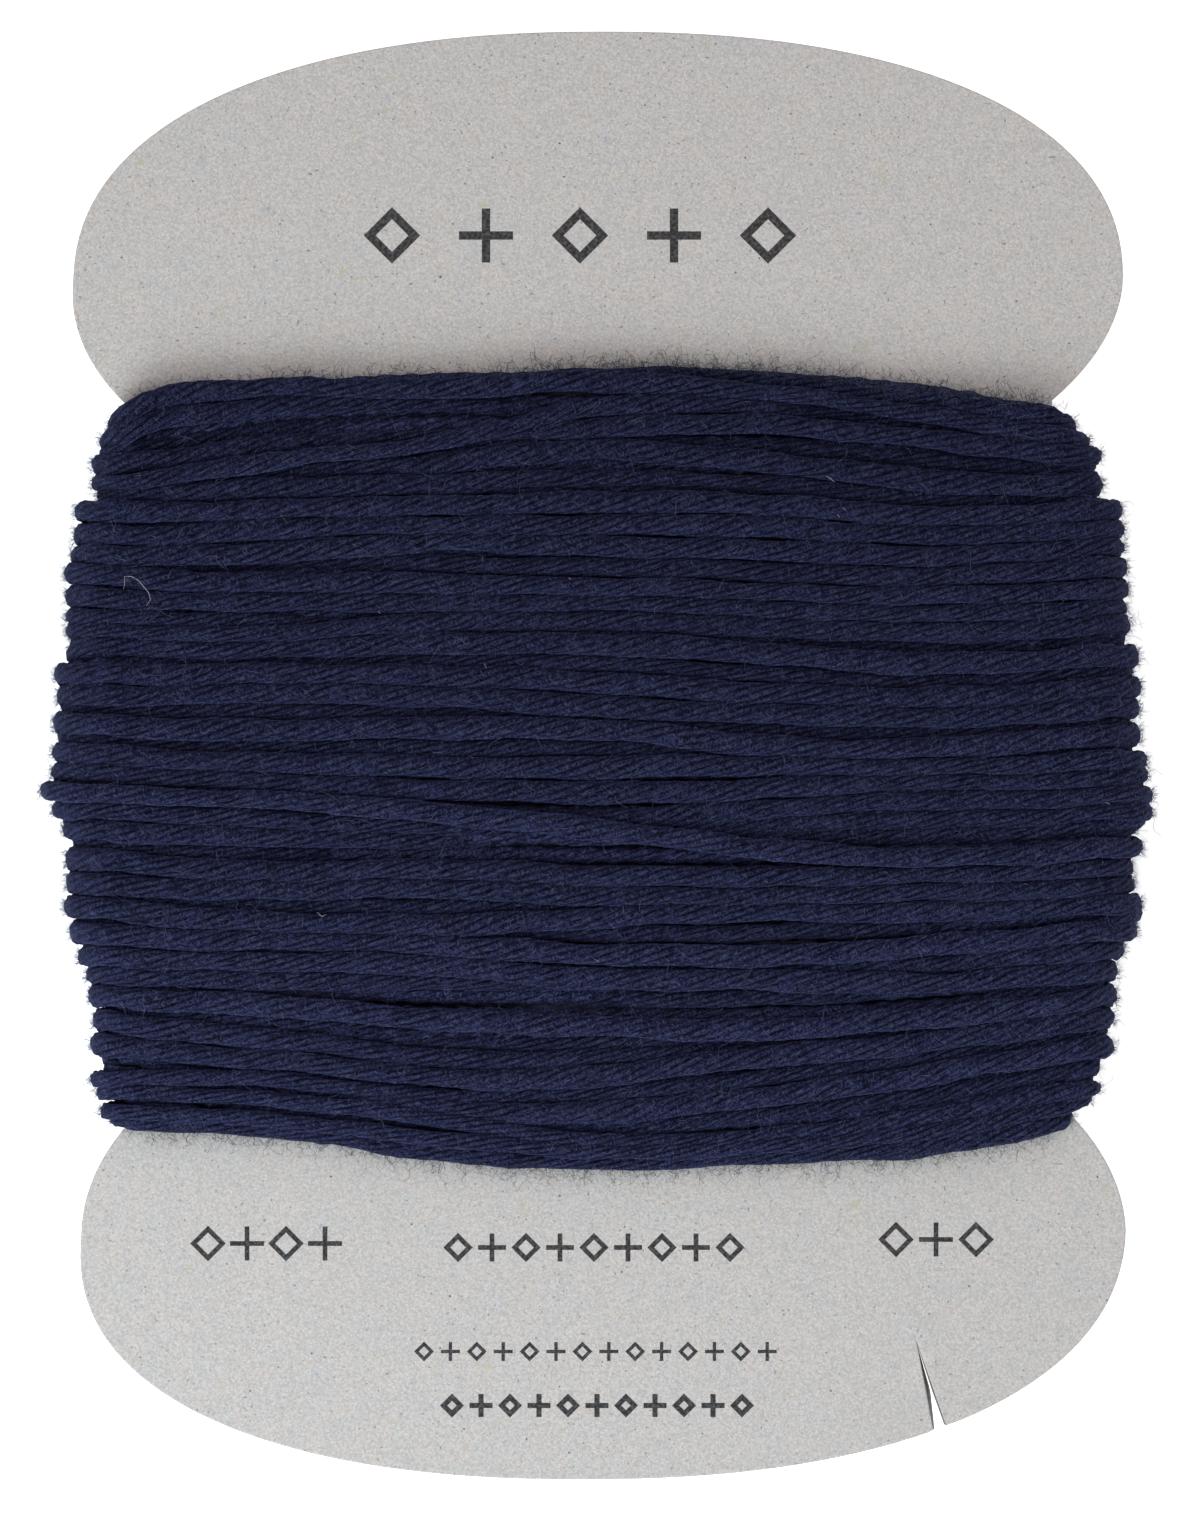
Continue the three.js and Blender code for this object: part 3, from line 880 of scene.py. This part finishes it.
def thread_tree():
    """Geometry Nodes that twist plies round every guide line, flattened against the winding."""
    sockets = {
        "Step": FLOAT, "Lay": FLOAT, "Sides": WHOLE, "Side Each Ply": WHOLE, "Groove": FLOAT,
        "Unevenness": FLOAT, "Material": MATERIAL,
    }
    tree, sizes, result = new_tree("twisted thread", sockets)
    line = result_of(tree, "GeometryNodeMeshToCurve", {0: sizes["Geometry"]})
    line = result_of(tree, "GeometryNodeCurveSplineType", {0: line}, spline_type="CATMULL_ROM")
    line = result_of(tree, "GeometryNodeResampleCurve", {0: line, "Length": sizes["Step"]}, mode="LENGTH")
    spline = add_node(tree, "GeometryNodeSplineParameter")
    whole = add_node(tree, "GeometryNodeSplineLength").outputs["Length"]
    turns = number_of(tree, "ROUND", number_of(tree, "DIVIDE", whole, sizes["Lay"]))
    turned = number_of(tree, "MULTIPLY", turns, spline.outputs["Factor"])
    twist = number_of(tree, "MULTIPLY", turned, 2 * math.pi)
    tangent = result_of(tree, "GeometryNodeInputTangent")
    outward = named(tree, "outward", "FLOAT_VECTOR")
    side = vector_of(tree, "NORMALIZE", vector_of(tree, "CROSS_PRODUCT", tangent, outward))
    line, kept = capture(tree, line, {
        "centre": result_of(tree, "GeometryNodeInputPosition"),
        "side": side,
        "up": vector_of(tree, "NORMALIZE", vector_of(tree, "CROSS_PRODUCT", side, tangent)),
        "twist": twist,
        "along": spline.outputs["Length"],
        "width": named(tree, "half_width"),
        "depth": named(tree, "half_depth"),
    })
    ring_sizes = {"Resolution": sizes["Sides"], "Radius": 1 * MM}
    ring = result_of(tree, "GeometryNodeCurvePrimitiveCircle", ring_sizes)
    corner = result_of(tree, "GeometryNodeInputIndex")
    ring, around = capture(tree, ring, {
        "turn": number_of(tree, "MULTIPLY", number_of(tree, "DIVIDE", corner, sizes["Sides"]), 2 * math.pi),
        "ply": number_of(tree, "MODULO", corner, sizes["Side Each Ply"]),
    })
    tube = result_of(tree, "GeometryNodeCurveToMesh", {"Curve": line, "Profile Curve": ring})
    tube = result_of(tree, "GeometryNodeFlipFaces", {0: tube})
    angle = number_of(tree, "ADD", around["turn"], kept["twist"])
    furrow = number_of(tree, "LESS_THAN", around["ply"], 0.5)
    dip = number_of(tree, "SUBTRACT", 1.0, number_of(tree, "MULTIPLY", furrow, sizes["Groove"]))
    across = number_of(tree, "COSINE", angle)
    wide = number_of(tree, "MULTIPLY", number_of(tree, "MULTIPLY", kept["width"], dip), across)
    deep = number_of(tree, "MULTIPLY", kept["depth"], dip)
    deep = number_of(tree, "MULTIPLY", deep, number_of(tree, "SINE", angle))
    aside = vector_of(tree, "SCALE", kept["side"], wide)
    offset = vector_of(tree, "ADD", aside, vector_of(tree, "SCALE", kept["up"], deep))
    place = vector_of(tree, "ADD", kept["centre"], offset)
    tube = result_of(tree, "GeometryNodeSetPosition", {0: tube, "Position": place})
    tube = keep_named(tree, tube, "flank", number_of(tree, "ABSOLUTE", across))
    round_place = result_of(tree, "ShaderNodeCombineXYZ", {
        0: number_of(tree, "MULTIPLY", kept["width"], number_of(tree, "COSINE", around["turn"])),
        1: number_of(tree, "MULTIPLY", kept["width"], number_of(tree, "SINE", around["turn"])),
        2: kept["along"],
    })
    tube = keep_named(tree, tube, "ply_place", round_place, "FLOAT_VECTOR")
    drawn = vector_of(tree, "MULTIPLY", named(tree, "ply_place", "FLOAT_VECTOR"), LUMP_GRAIN)
    lumps = add_node(tree, "ShaderNodeTexNoise", {"Vector": drawn, "Scale": 1.0, "Detail": 1}).outputs["Fac"]
    swelling = number_of(tree, "MULTIPLY", number_of(tree, "SUBTRACT", lumps, 0.5), sizes["Unevenness"])
    swollen = vector_of(tree, "SCALE", result_of(tree, "GeometryNodeInputNormal"), swelling)
    tube = result_of(tree, "GeometryNodeSetPosition", {0: tube, "Offset": swollen})
    tube = result_of(tree, "GeometryNodeSetShadeSmooth", {0: tube})
    finish_tree(tree, tube, sizes, result)
    return tree


# The colour of the cotton's lint, partly its own paler tone and partly a painted sheen, the plies of a
# thread,
# and the ways that fibres lie across it: each with its turn, its thickness and its length in mm.
LINT_NAVY_WITH_SHEEN = (0.062, 0.070, 0.148, 1)
PLIES = 8
CROSSING_FIBRES = ((0.7, 0.085, 0.55), (-0.5, 0.08, 0.5), (1.5, 0.08, 0.5), (2.2, 0.085, 0.45))
LINT_STRENGTH = 0.75
FIBRE_GRAIN = (11500, 11500, 1200)
FIBRE_CONTRAST = (0.40, 0.62)
DRAWN_SHARE = 0.6
PLY_WANDER = 0.3
FURROW_START = 0.42
FURROW_LEAST = 0.38
FURROW_SPREAD = 0.65
FURROW_SHADE = 0.12
CREST_SHADE = 1.11
FLANK_START = 0.78
FLANK_SHADES = (0.98, 1.45)


def cotton_material(name, dark, light):
    """Navy cotton: fibres along each ply, painted shade in furrows, painted light on crests and flanks, lint
    with a painted sheen, and a tint with painted shade for each turn.
    """
    material, tree, shader = new_material(name, {
        "Roughness": 0.9, "Specular IOR Level": 0.05, "Sheen Weight": 0.06, "Sheen Roughness": 0.5,
        "Sheen Tint": (0.35, 0.45, 1.0, 1.0),
    })
    ply_place = add_node(tree, "ShaderNodeAttribute", attribute_name="ply_place").outputs["Vector"]
    place = add_node(tree, "ShaderNodeTexCoord").outputs["Object"]
    drawn = vector_of(tree, "MULTIPLY", ply_place, FIBRE_GRAIN)
    along_ply = {"Vector": drawn, "Scale": 1.0, "Detail": 2, "Roughness": 0.7}
    fibres = add_node(tree, "ShaderNodeTexNoise", along_ply).outputs["Fac"]
    all_ways = {"Vector": place, "Scale": 9000, "Detail": 2, "Roughness": 0.7}
    nap = add_node(tree, "ShaderNodeTexNoise", all_ways).outputs["Fac"]
    drawn_share = number_of(tree, "MULTIPLY", spread_out(tree, fibres, *FIBRE_CONTRAST), DRAWN_SHARE)
    nap_share = number_of(tree, "MULTIPLY", spread_out(tree, nap, *FIBRE_CONTRAST), 1 - DRAWN_SHARE)
    colour = mix_colour(tree, number_of(tree, "ADD", drawn_share, nap_share), dark, light)
    lint = 0.0
    for turn, thickness, length in CROSSING_FIBRES:
        lint = number_of(tree, "MAXIMUM", strewn_fibres(tree, place, turn, thickness, length), lint)
    # The lint is painted paler than the cotton: partly the fibres' own tone, partly a painted sheen.
    colour = mix_colour(tree, number_of(tree, "MULTIPLY", lint, LINT_STRENGTH), colour, LINT_NAVY_WITH_SHEEN)
    parts = add_node(tree, "ShaderNodeSeparateXYZ", {0: ply_place}).outputs
    # Painted shade in the furrows between the plies, deeper in some patches than others, and painted light on
    # the crests between them.
    slow = add_node(tree, "ShaderNodeTexNoise", {"Vector": place, "Scale": 800}).outputs["Fac"]
    wander = number_of(tree, "ADD", number_of(tree, "MULTIPLY", slow, PLY_WANDER), PLIES - PLY_WANDER / 2)
    round_thread = number_of(tree, "ARCTAN2", parts["Y"], parts["X"])
    ply_count = number_of(tree, "MULTIPLY", round_thread, PLIES / (2 * math.pi))
    in_ply = number_of(tree, "FRACT", number_of(tree, "ADD", ply_count, wander))
    edge_of_ply = number_of(tree, "ABSOLUTE", number_of(tree, "MULTIPLY_ADD", in_ply, 2.0, -1.0))
    furrow = spread_out(tree, edge_of_ply, FURROW_START, 1.0)
    patches = noise_colour(tree, place, 900, 2, 0.35, 0.6)
    openness = number_of(tree, "MULTIPLY_ADD", patches, FURROW_SPREAD, FURROW_LEAST)
    open_furrow = number_of(tree, "MULTIPLY", furrow, openness)
    shade = spread_out(tree, open_furrow, 0.0, 1.0, CREST_SHADE, FURROW_SHADE)
    # Painted light: the sides of each turn, where it bends down into the gaps, are painted up to half as
    # light again, to lift their shade.
    flank = add_node(tree, "ShaderNodeAttribute", attribute_name="flank").outputs["Fac"]
    painted_flank_light = spread_out(tree, flank, FLANK_START, 1.0, *FLANK_SHADES)
    tint_and_shade = add_node(tree, "ShaderNodeAttribute", attribute_name="tint_and_shade").outputs["Fac"]
    depth = number_of(tree, "MULTIPLY", number_of(tree, "MULTIPLY", shade, painted_flank_light), tint_and_shade)
    colour = vector_of(tree, "SCALE", colour, depth)
    tree.links.new(colour, shader["Base Color"])
    relief = number_of(tree, "ADD", fibres, number_of(tree, "MULTIPLY", nap, 0.6))
    relief = number_of(tree, "SUBTRACT", relief, number_of(tree, "MULTIPLY", open_furrow, 0.9))
    bump = {"Height": relief, "Strength": 1.0, "Distance": 0.08 * MM}
    tree.links.new(result_of(tree, "ShaderNodeBump", bump), shader["Normal"])
    return material


cotton = cotton_material("navy_cotton", (0.0020, 0.0020, 0.0072, 1), (0.0155, 0.0164, 0.0580, 1))
twisted_thread = thread_tree()
laid = lay_turns(TURNS)
tint_chance = random.Random(8)
# Each turn's colour: a random spread of the cotton's own tone, times a painted shade that darkens the turns
# towards the top of the winding.
PAINTED_SHADE_AT_TOP = 0.85
PAINTED_SHADE_AT_BOTTOM = 1.06
TINT_SPREAD = (0.95, 1.05)
tints_and_shades = []
for number in range(len(laid)):
    height_shade = PAINTED_SHADE_AT_TOP + (PAINTED_SHADE_AT_BOTTOM - PAINTED_SHADE_AT_TOP) * number / len(laid)
    tints_and_shades.append(height_shade * tint_chance.uniform(*TINT_SPREAD))
TURNS_A_GROUP = 19
thread_sizes = {
    "Step": 0.69 * MM, "Lay": 8.6 * MM, "Sides": 24, "Side Each Ply": 3, "Groove": 0.11,
    "Unevenness": 0.22 * MM, "Material": cotton,
}
wound_turns = []
for number, first in enumerate(range(0, len(laid), TURNS_A_GROUP), 1):
    group = slice(first, first + TURNS_A_GROUP)
    turns_mesh = guide_mesh("turns", laid[group], tints_and_shades[group])
    wound = grown(f"thread_turns_{number}", twisted_thread, turns_mesh, thread_sizes)
    wound_turns.append(wound)
    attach(wound, "root")
    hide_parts("winding")

# The lower layers of the winding, which show dark in the gaps between the outer turns.
# They are the same thread, laid close, over a core that stands for the layers that nobody sees.
LOWER_PITCH = 1.0
LOWER_DEPTHS = (0.62, 1.12)
LOWER_BOW = 0.5
LOWER_BOW_AT = 20
LOWER_BOW_WIDTH = 16
LOWER_TOP = 18.3
LOWER_BOTTOM = -19.5
LOWER_GATHER = 0.14
LOWER_GATHER_AT = 25
# The lower turns are painted lighter than the outer ones: a painted light that lifts the shade deep in the
# gaps.
LOWER_SHADE = 1.3
LOWER_HALF_WIDTH = 0.52
LOWER_SPREAD = (0.92, 1.08)
LAYER_SHIFT = 0.3
BORDER_FROM = 16.5
lower_turns = []
lower_chance = random.Random(5)


def lower_height(height, x):
    """How high a lower turn crosses a place: bowed out in the middle and drawn in at the edges."""
    share = height / LOWER_BOW_AT
    drawn_in = 1 - LOWER_GATHER * (x / LOWER_GATHER_AT) ** 4
    return (height + LOWER_BOW * share * abs(share) * math.cos(x / LOWER_BOW_WIDTH)) * drawn_in


for layer, depth in enumerate(LOWER_DEPTHS):
    height = LOWER_TOP - LAYER_SHIFT * layer
    while height > LOWER_BOTTOM:
        if layer == 0 or abs(height) > BORDER_FROM:
            way = lie_of_turn(lambda x, h=height: lower_height(h, x), (1.0, 1.0), depth, lower_chance)
            lower_turns.append([(place, outward, LOWER_HALF_WIDTH, 1.0) for place, outward, _ in way])
        height -= LOWER_PITCH * lower_chance.uniform(*LOWER_SPREAD)
lower_sizes = dict(thread_sizes, Sides=8, Step=1.4 * MM, Groove=0.0)
lower_mesh = guide_mesh("lower turns", lower_turns, [LOWER_SHADE] * len(lower_turns))
lower = grown("lower_turns", twisted_thread, lower_mesh, lower_sizes)
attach(lower, "root")
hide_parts("winding")

# The core: the wound form of all the inner layers, drawn in from the solid model's ribs.
CORE_INSET = 0.95
CORE_CLEARANCE = 0.6
CORE_SQUEEZE = 0.96
core = bmesh.new()
core.from_mesh(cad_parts["winding"].data)
bmesh.ops.remove_doubles(core, verts=core.verts, dist=0.001 * MM)
bmesh.ops.recalc_face_normals(core, faces=core.faces)
core.normal_update()
for vert in core.verts:
    over = vert.co.z / MM > face_level + CORE_CLEARANCE or vert.co.z / MM < back_level - CORE_CLEARANCE
    if over or abs(vert.co.x) / MM > WAIST_HALF + CORE_CLEARANCE:
        vert.co -= vert.normal * CORE_INSET * MM
    vert.co.y *= CORE_SQUEEZE
core_mesh = mesh_from("wound_core", core)
full_tint = [1.0] * len(core_mesh.vertices)
core_mesh.attributes.new("tint_and_shade", "FLOAT", "POINT").data.foreach_set("value", full_tint)
wound_core = put_in_scene("wound_core", core_mesh)
# The core's cotton is painted lighter and greyer than the thread: a painted light that lifts the shade in the
# deepest gaps.
core_mesh.materials.append(cotton_material("navy_core", (0.022, 0.022, 0.034, 1), (0.040, 0.040, 0.064, 1)))
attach(wound_core, "root")
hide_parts("winding")

# The loose fibres: cotton is fuzzy, so short fibres stand off every turn, a halo shows at the two edges,
# and longer dark ones curl out over the board along the first and last turns.
# Fibres that would reach into the table lie down on it.
NEAR_TABLE = 0.12
CREST_HALF_WIDTH = 0.75
CREST_HEIGHT = 0.9
BORDER_FACING = 0.9
BORDER_REACH = 25
BORDER_BAND = ((0.7, -0.25), (0.6, 0.25))
FIBRE_LENGTHS = (0.35, 1.5)
CURL_STRENGTH = 3.2
WAVE_SPREAD = 50.0


def fibre_tree():
    """Geometry Nodes that grow curly fibres out of a surface, each a thin three-sided thread."""
    sockets = {
        "Density": FLOAT, "Length": FLOAT, "Radius": FLOAT, "Curl": FLOAT, "Wave": FLOAT, "Lean": FLOAT,
        "Points": WHOLE, "Seed": WHOLE, "Material": MATERIAL,
    }
    tree, sizes, result = new_tree("loose fibres", sockets)
    roots = add_node(tree, "GeometryNodeDistributePointsOnFaces", {
        "Mesh": sizes["Geometry"], "Density": sizes["Density"], "Seed": sizes["Seed"],
    })
    straight = result_of(tree, "GeometryNodeCurvePrimitiveLine", {"End": (0, 0, 1)})
    straight = result_of(tree, "GeometryNodeResampleCurve", {0: straight, "Count": sizes["Points"]})
    tilt = add_node(tree, "FunctionNodeRandomValue", {"Seed": sizes["Seed"]}, data_type="FLOAT_VECTOR")
    back = number_of(tree, "MULTIPLY", sizes["Lean"], -1)
    for limit, (lean, spin) in enumerate(((back, -math.pi), (sizes["Lean"], math.pi))):
        most = result_of(tree, "ShaderNodeCombineXYZ", {0: lean, 1: lean, 2: spin})
        tree.links.new(most, tilt.inputs[limit])
    leant = {0: roots.outputs["Rotation"]}
    leant[1] = result_of(tree, "FunctionNodeEulerToRotation", {0: tilt.outputs[0]})
    stance = result_of(tree, "FunctionNodeRotateRotation", leant, rotation_space="LOCAL")
    lengths = {2: FIBRE_LENGTHS[0], 3: FIBRE_LENGTHS[1], "Seed": sizes["Seed"]}
    reach = add_node(tree, "FunctionNodeRandomValue", lengths).outputs[1]
    fibres = result_of(tree, "GeometryNodeInstanceOnPoints", {
        0: roots.outputs["Points"], "Instance": straight, "Rotation": stance,
        "Scale": number_of(tree, "MULTIPLY", reach, sizes["Length"]),
    })
    fibres = result_of(tree, "GeometryNodeRealizeInstances", {0: fibres})
    index = {0: result_of(tree, "GeometryNodeInputIndex")}
    each = result_of(tree, "GeometryNodeFieldOnDomain", index, domain="CURVE", data_type="INT")
    own_wave = {2: 0.0, 3: WAVE_SPREAD, "ID": each, "Seed": 3}
    own = add_node(tree, "FunctionNodeRandomValue", own_wave).outputs[1]
    place = result_of(tree, "GeometryNodeInputPosition")
    waving = {"Vector": place, "W": own, "Scale": sizes["Wave"], "Detail": 0}
    wave = add_node(tree, "ShaderNodeTexNoise", waving, noise_dimensions="4D").outputs["Color"]
    sway = vector_of(tree, "SUBTRACT", wave, (0.5, 0.5, 0.5))
    along = add_node(tree, "GeometryNodeSplineParameter").outputs["Factor"]
    amount = number_of(tree, "MULTIPLY", number_of(tree, "MULTIPLY", along, sizes["Curl"]), CURL_STRENGTH)
    curled = {0: fibres, "Offset": vector_of(tree, "SCALE", sway, amount)}
    fibres = result_of(tree, "GeometryNodeSetPosition", curled)
    three_sided = {"Resolution": 3, "Radius": sizes["Radius"]}
    section = result_of(tree, "GeometryNodeCurvePrimitiveCircle", three_sided)
    drawn_out = {"Curve": fibres, "Profile Curve": section, "Fill Caps": True}
    hairs = result_of(tree, "GeometryNodeCurveToMesh", drawn_out)
    hairs = result_of(tree, "GeometryNodeSetShadeSmooth", {0: hairs})
    finish_tree(tree, hairs, sizes, result)
    return tree


def fibre_material(name, root, tip):
    """Single cotton fibres, a little uneven in colour."""
    material, tree, shader = new_material(name, {"Roughness": 0.7, "Specular IOR Level": 0.2})
    place = add_node(tree, "ShaderNodeTexCoord").outputs["Object"]
    colour = mix_colour(tree, noise_colour(tree, place, 1600, 1, 0.35, 0.65), root, tip)
    tree.links.new(colour, shader["Base Color"])
    return material


def crest_mesh(name, turns, lowest, highest):
    """A band for fibres to grow on: each turn's crest where its outward side leans between two limits."""
    band = bmesh.new()
    for turn in turns:
        rails = []
        for place, outward, wide, _ in turn:
            side = Vector((0, 1, 0)) * wide * CREST_HALF_WIDTH
            top = place + outward * half_depth(outward) * CREST_HEIGHT
            rails.append((band.verts.new((top + side) * MM), band.verts.new((top - side) * MM), outward.z))
        for here, there in zip(rails, rails[1:]):
            if lowest <= min(here[2], there[2]) and max(here[2], there[2]) <= highest:
                band.faces.new((here[1], there[1], there[0], here[0]))
    bmesh.ops.delete(band, geom=[vert for vert in band.verts if not vert.link_faces], context="VERTS")
    return mesh_from(name, band)


def border_mesh(name, turn, away):
    """A narrow band along the open side of the first or last turn, facing out over the board."""
    band = bmesh.new()
    rails = []
    for place, outward, wide, _ in turn:
        if outward.z > BORDER_FACING and abs(place.x) < BORDER_REACH:
            rail = [place + Vector((0, away * wide * out, up)) for out, up in BORDER_BAND]
            rails.append([band.verts.new(point * MM) for point in rail])
    for here, there in zip(rails, rails[1:]):
        face = band.faces.new((here[0], there[0], there[1], here[1]))
        face.normal_update()
        if face.normal.y * away < 0:
            face.normal_flip()
    return mesh_from(name, band)


loose_fibres = fibre_tree()
# The fibres on the turns are paler than the cotton: partly the thin fibres' own paler tone, partly a painted
# sheen.
pale_fibre_with_sheen = fibre_material("fibre_navy", (0.035, 0.042, 0.098, 1), (0.11, 0.125, 0.21, 1))
dark_fibre = fibre_material("fibre_dark", (0.02, 0.022, 0.045, 1), (0.06, 0.065, 0.10, 1))
per_square_mm = 1 / (MM * MM)
face_crests = crest_mesh("face", laid, -0.6, 1.1)
edge_crests = crest_mesh("edge", laid, -0.45, 0.75)
back_crests = crest_mesh("back", laid, -1.1, -0.4)
top_border = border_mesh("top border", laid[0], 1)
bottom_border = border_mesh("bottom border", laid[-1], -1)
# Each kind of fibre: name, surface, number on a square mm, length, radius and curl in mm, how fast it
# waves, how far it leans, and the points of one fibre.
FIBRES = (
    ("fibres_short", face_crests, 1.2, 0.30, 0.010, 0.12, 2000, 1.2, 4),
    ("fibres_long", face_crests, 0.5, 0.9, 0.009, 0.45, 1500, 1.45, 12),
    ("fibres_edge", edge_crests, 44, 0.30, 0.008, 0.14, 4000, 1.0, 4),
    ("fibres_back", back_crests, 1.0, 0.4, 0.008, 0.3, 1500, 1.3, 4),
    ("fibres_top", top_border, 52, 0.85, 0.009, 0.45, 3000, 1.2, 12),
    ("fibres_bottom", bottom_border, 28, 0.85, 0.008, 0.42, 3000, 1.2, 12),
    ("fibres_rim_top", top_border, 90, 0.16, 0.012, 0.05, 4000, 1.3, 3),
    ("fibres_rim_bottom", bottom_border, 80, 0.16, 0.012, 0.05, 4000, 1.3, 3),
)
for number, (name, surface, density, length, radius, curl, wave, lean, points) in enumerate(FIBRES, 1):
    over_board = name in ("fibres_top", "fibres_bottom")
    fuzz = grown(name, loose_fibres, surface, {
        "Density": density * per_square_mm, "Length": length * MM, "Radius": radius * MM, "Curl": curl * MM,
        "Wave": wave, "Lean": lean, "Points": points, "Seed": number,
        "Material": dark_fibre if over_board else pale_fibre_with_sheen,
    })
    for vert in fuzz.data.vertices:
        if vert.co.z < NEAR_TABLE * MM:
            vert.co.z = NEAR_TABLE * MM * math.exp(vert.co.z / (NEAR_TABLE * MM) - 1)
    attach(fuzz, "root")

# Stray lint: one pale curl and a few white specks that cling to the winding.
# Each row gives the photo pixels that a piece of lint runs through.
STRAY_LINT = (
    ((125, 590), (126, 584), (126, 577), (133, 577), (140, 581),
     (145, 587), (150, 593), (152, 600), (148, 606)),
    ((826, 477), (830, 479), (834, 483)),
    ((842, 508), (845, 511)),
    ((837, 515), (839, 518)),
    ((1023, 883), (1026, 884)),
    ((379, 612), (381, 614)),
    ((485, 664), (487, 669)),
    ((569, 578), (571, 580)),
    ((1104, 802), (1108, 804)),
    ((318, 912), (323, 916), (327, 914)),
    ((594, 958), (599, 961)),
)
LINT_RADIUS = 0.011
LINT_SIDES = 3
LINT_LIFT = 0.02
LINT_SPAN = 0.4
LINT_END_SHARE = 0.6
OVER_ALL = 10


def on_winding(column, row):
    """The place at a photo pixel, level with the highest turn beside it, so that lint bridges the gaps."""
    x = (column - PHOTO_WIDTH / 2) / PIXELS_A_MM * MM
    y = (PHOTO_MIDDLE_ROW - row) / PIXELS_A_MM * MM
    hits = []
    for aside in (-LINT_SPAN, 0.0, LINT_SPAN):
        start = Vector((x, y + aside * MM, OVER_ALL * MM))
        hits += [tree.ray_cast(start, Vector((0, 0, -1)))[0] for tree in turn_trees]
    return Vector((x, y, max(hit.z for hit in hits if hit)))


def lay_lint(pieces, way):
    """Adds a closed thin tube that runs over the winding through the given photo pixels."""
    centres = [on_winding(*pixel) + Vector((0, 0, LINT_LIFT * MM)) for pixel in way]
    rings = []
    for at, centre in enumerate(centres):
        run = (centres[min(at + 1, len(way) - 1)] - centres[max(at - 1, 0)]).normalized()
        side = run.cross(Vector((0, 0, 1))).normalized()
        up = side.cross(run)
        thick = LINT_RADIUS * MM * (LINT_END_SHARE if at in (0, len(way) - 1) else 1.0)
        ring = []
        for corner in range(LINT_SIDES):
            angle = 2 * math.pi * corner / LINT_SIDES
            ring.append(pieces.verts.new(centre + thick * (side * math.cos(angle) + up * math.sin(angle))))
        rings.append(ring)
    for near, far in zip(rings, rings[1:]):
        for corner in range(LINT_SIDES):
            following = (corner + 1) % LINT_SIDES
            pieces.faces.new((near[corner], near[following], far[following], far[corner]))
    pieces.faces.new(rings[0])
    pieces.faces.new(rings[-1])


view_layer_state = bpy.context.evaluated_depsgraph_get()
turn_trees = [BVHTree.FromObject(shape, view_layer_state) for shape in wound_turns]
lint = bmesh.new()
for way in STRAY_LINT:
    lay_lint(lint, way)
bmesh.ops.recalc_face_normals(lint, faces=lint.faces)
lint_mesh = mesh_from("stray_lint", lint)
lint_surface = {"Base Color": (0.50, 0.46, 0.49, 1), "Roughness": 0.9}
lint_mesh.materials.append(new_material("pale_lint", lint_surface)[0])
stray_lint = put_in_scene("stray_lint", lint_mesh)
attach(stray_lint, "root")
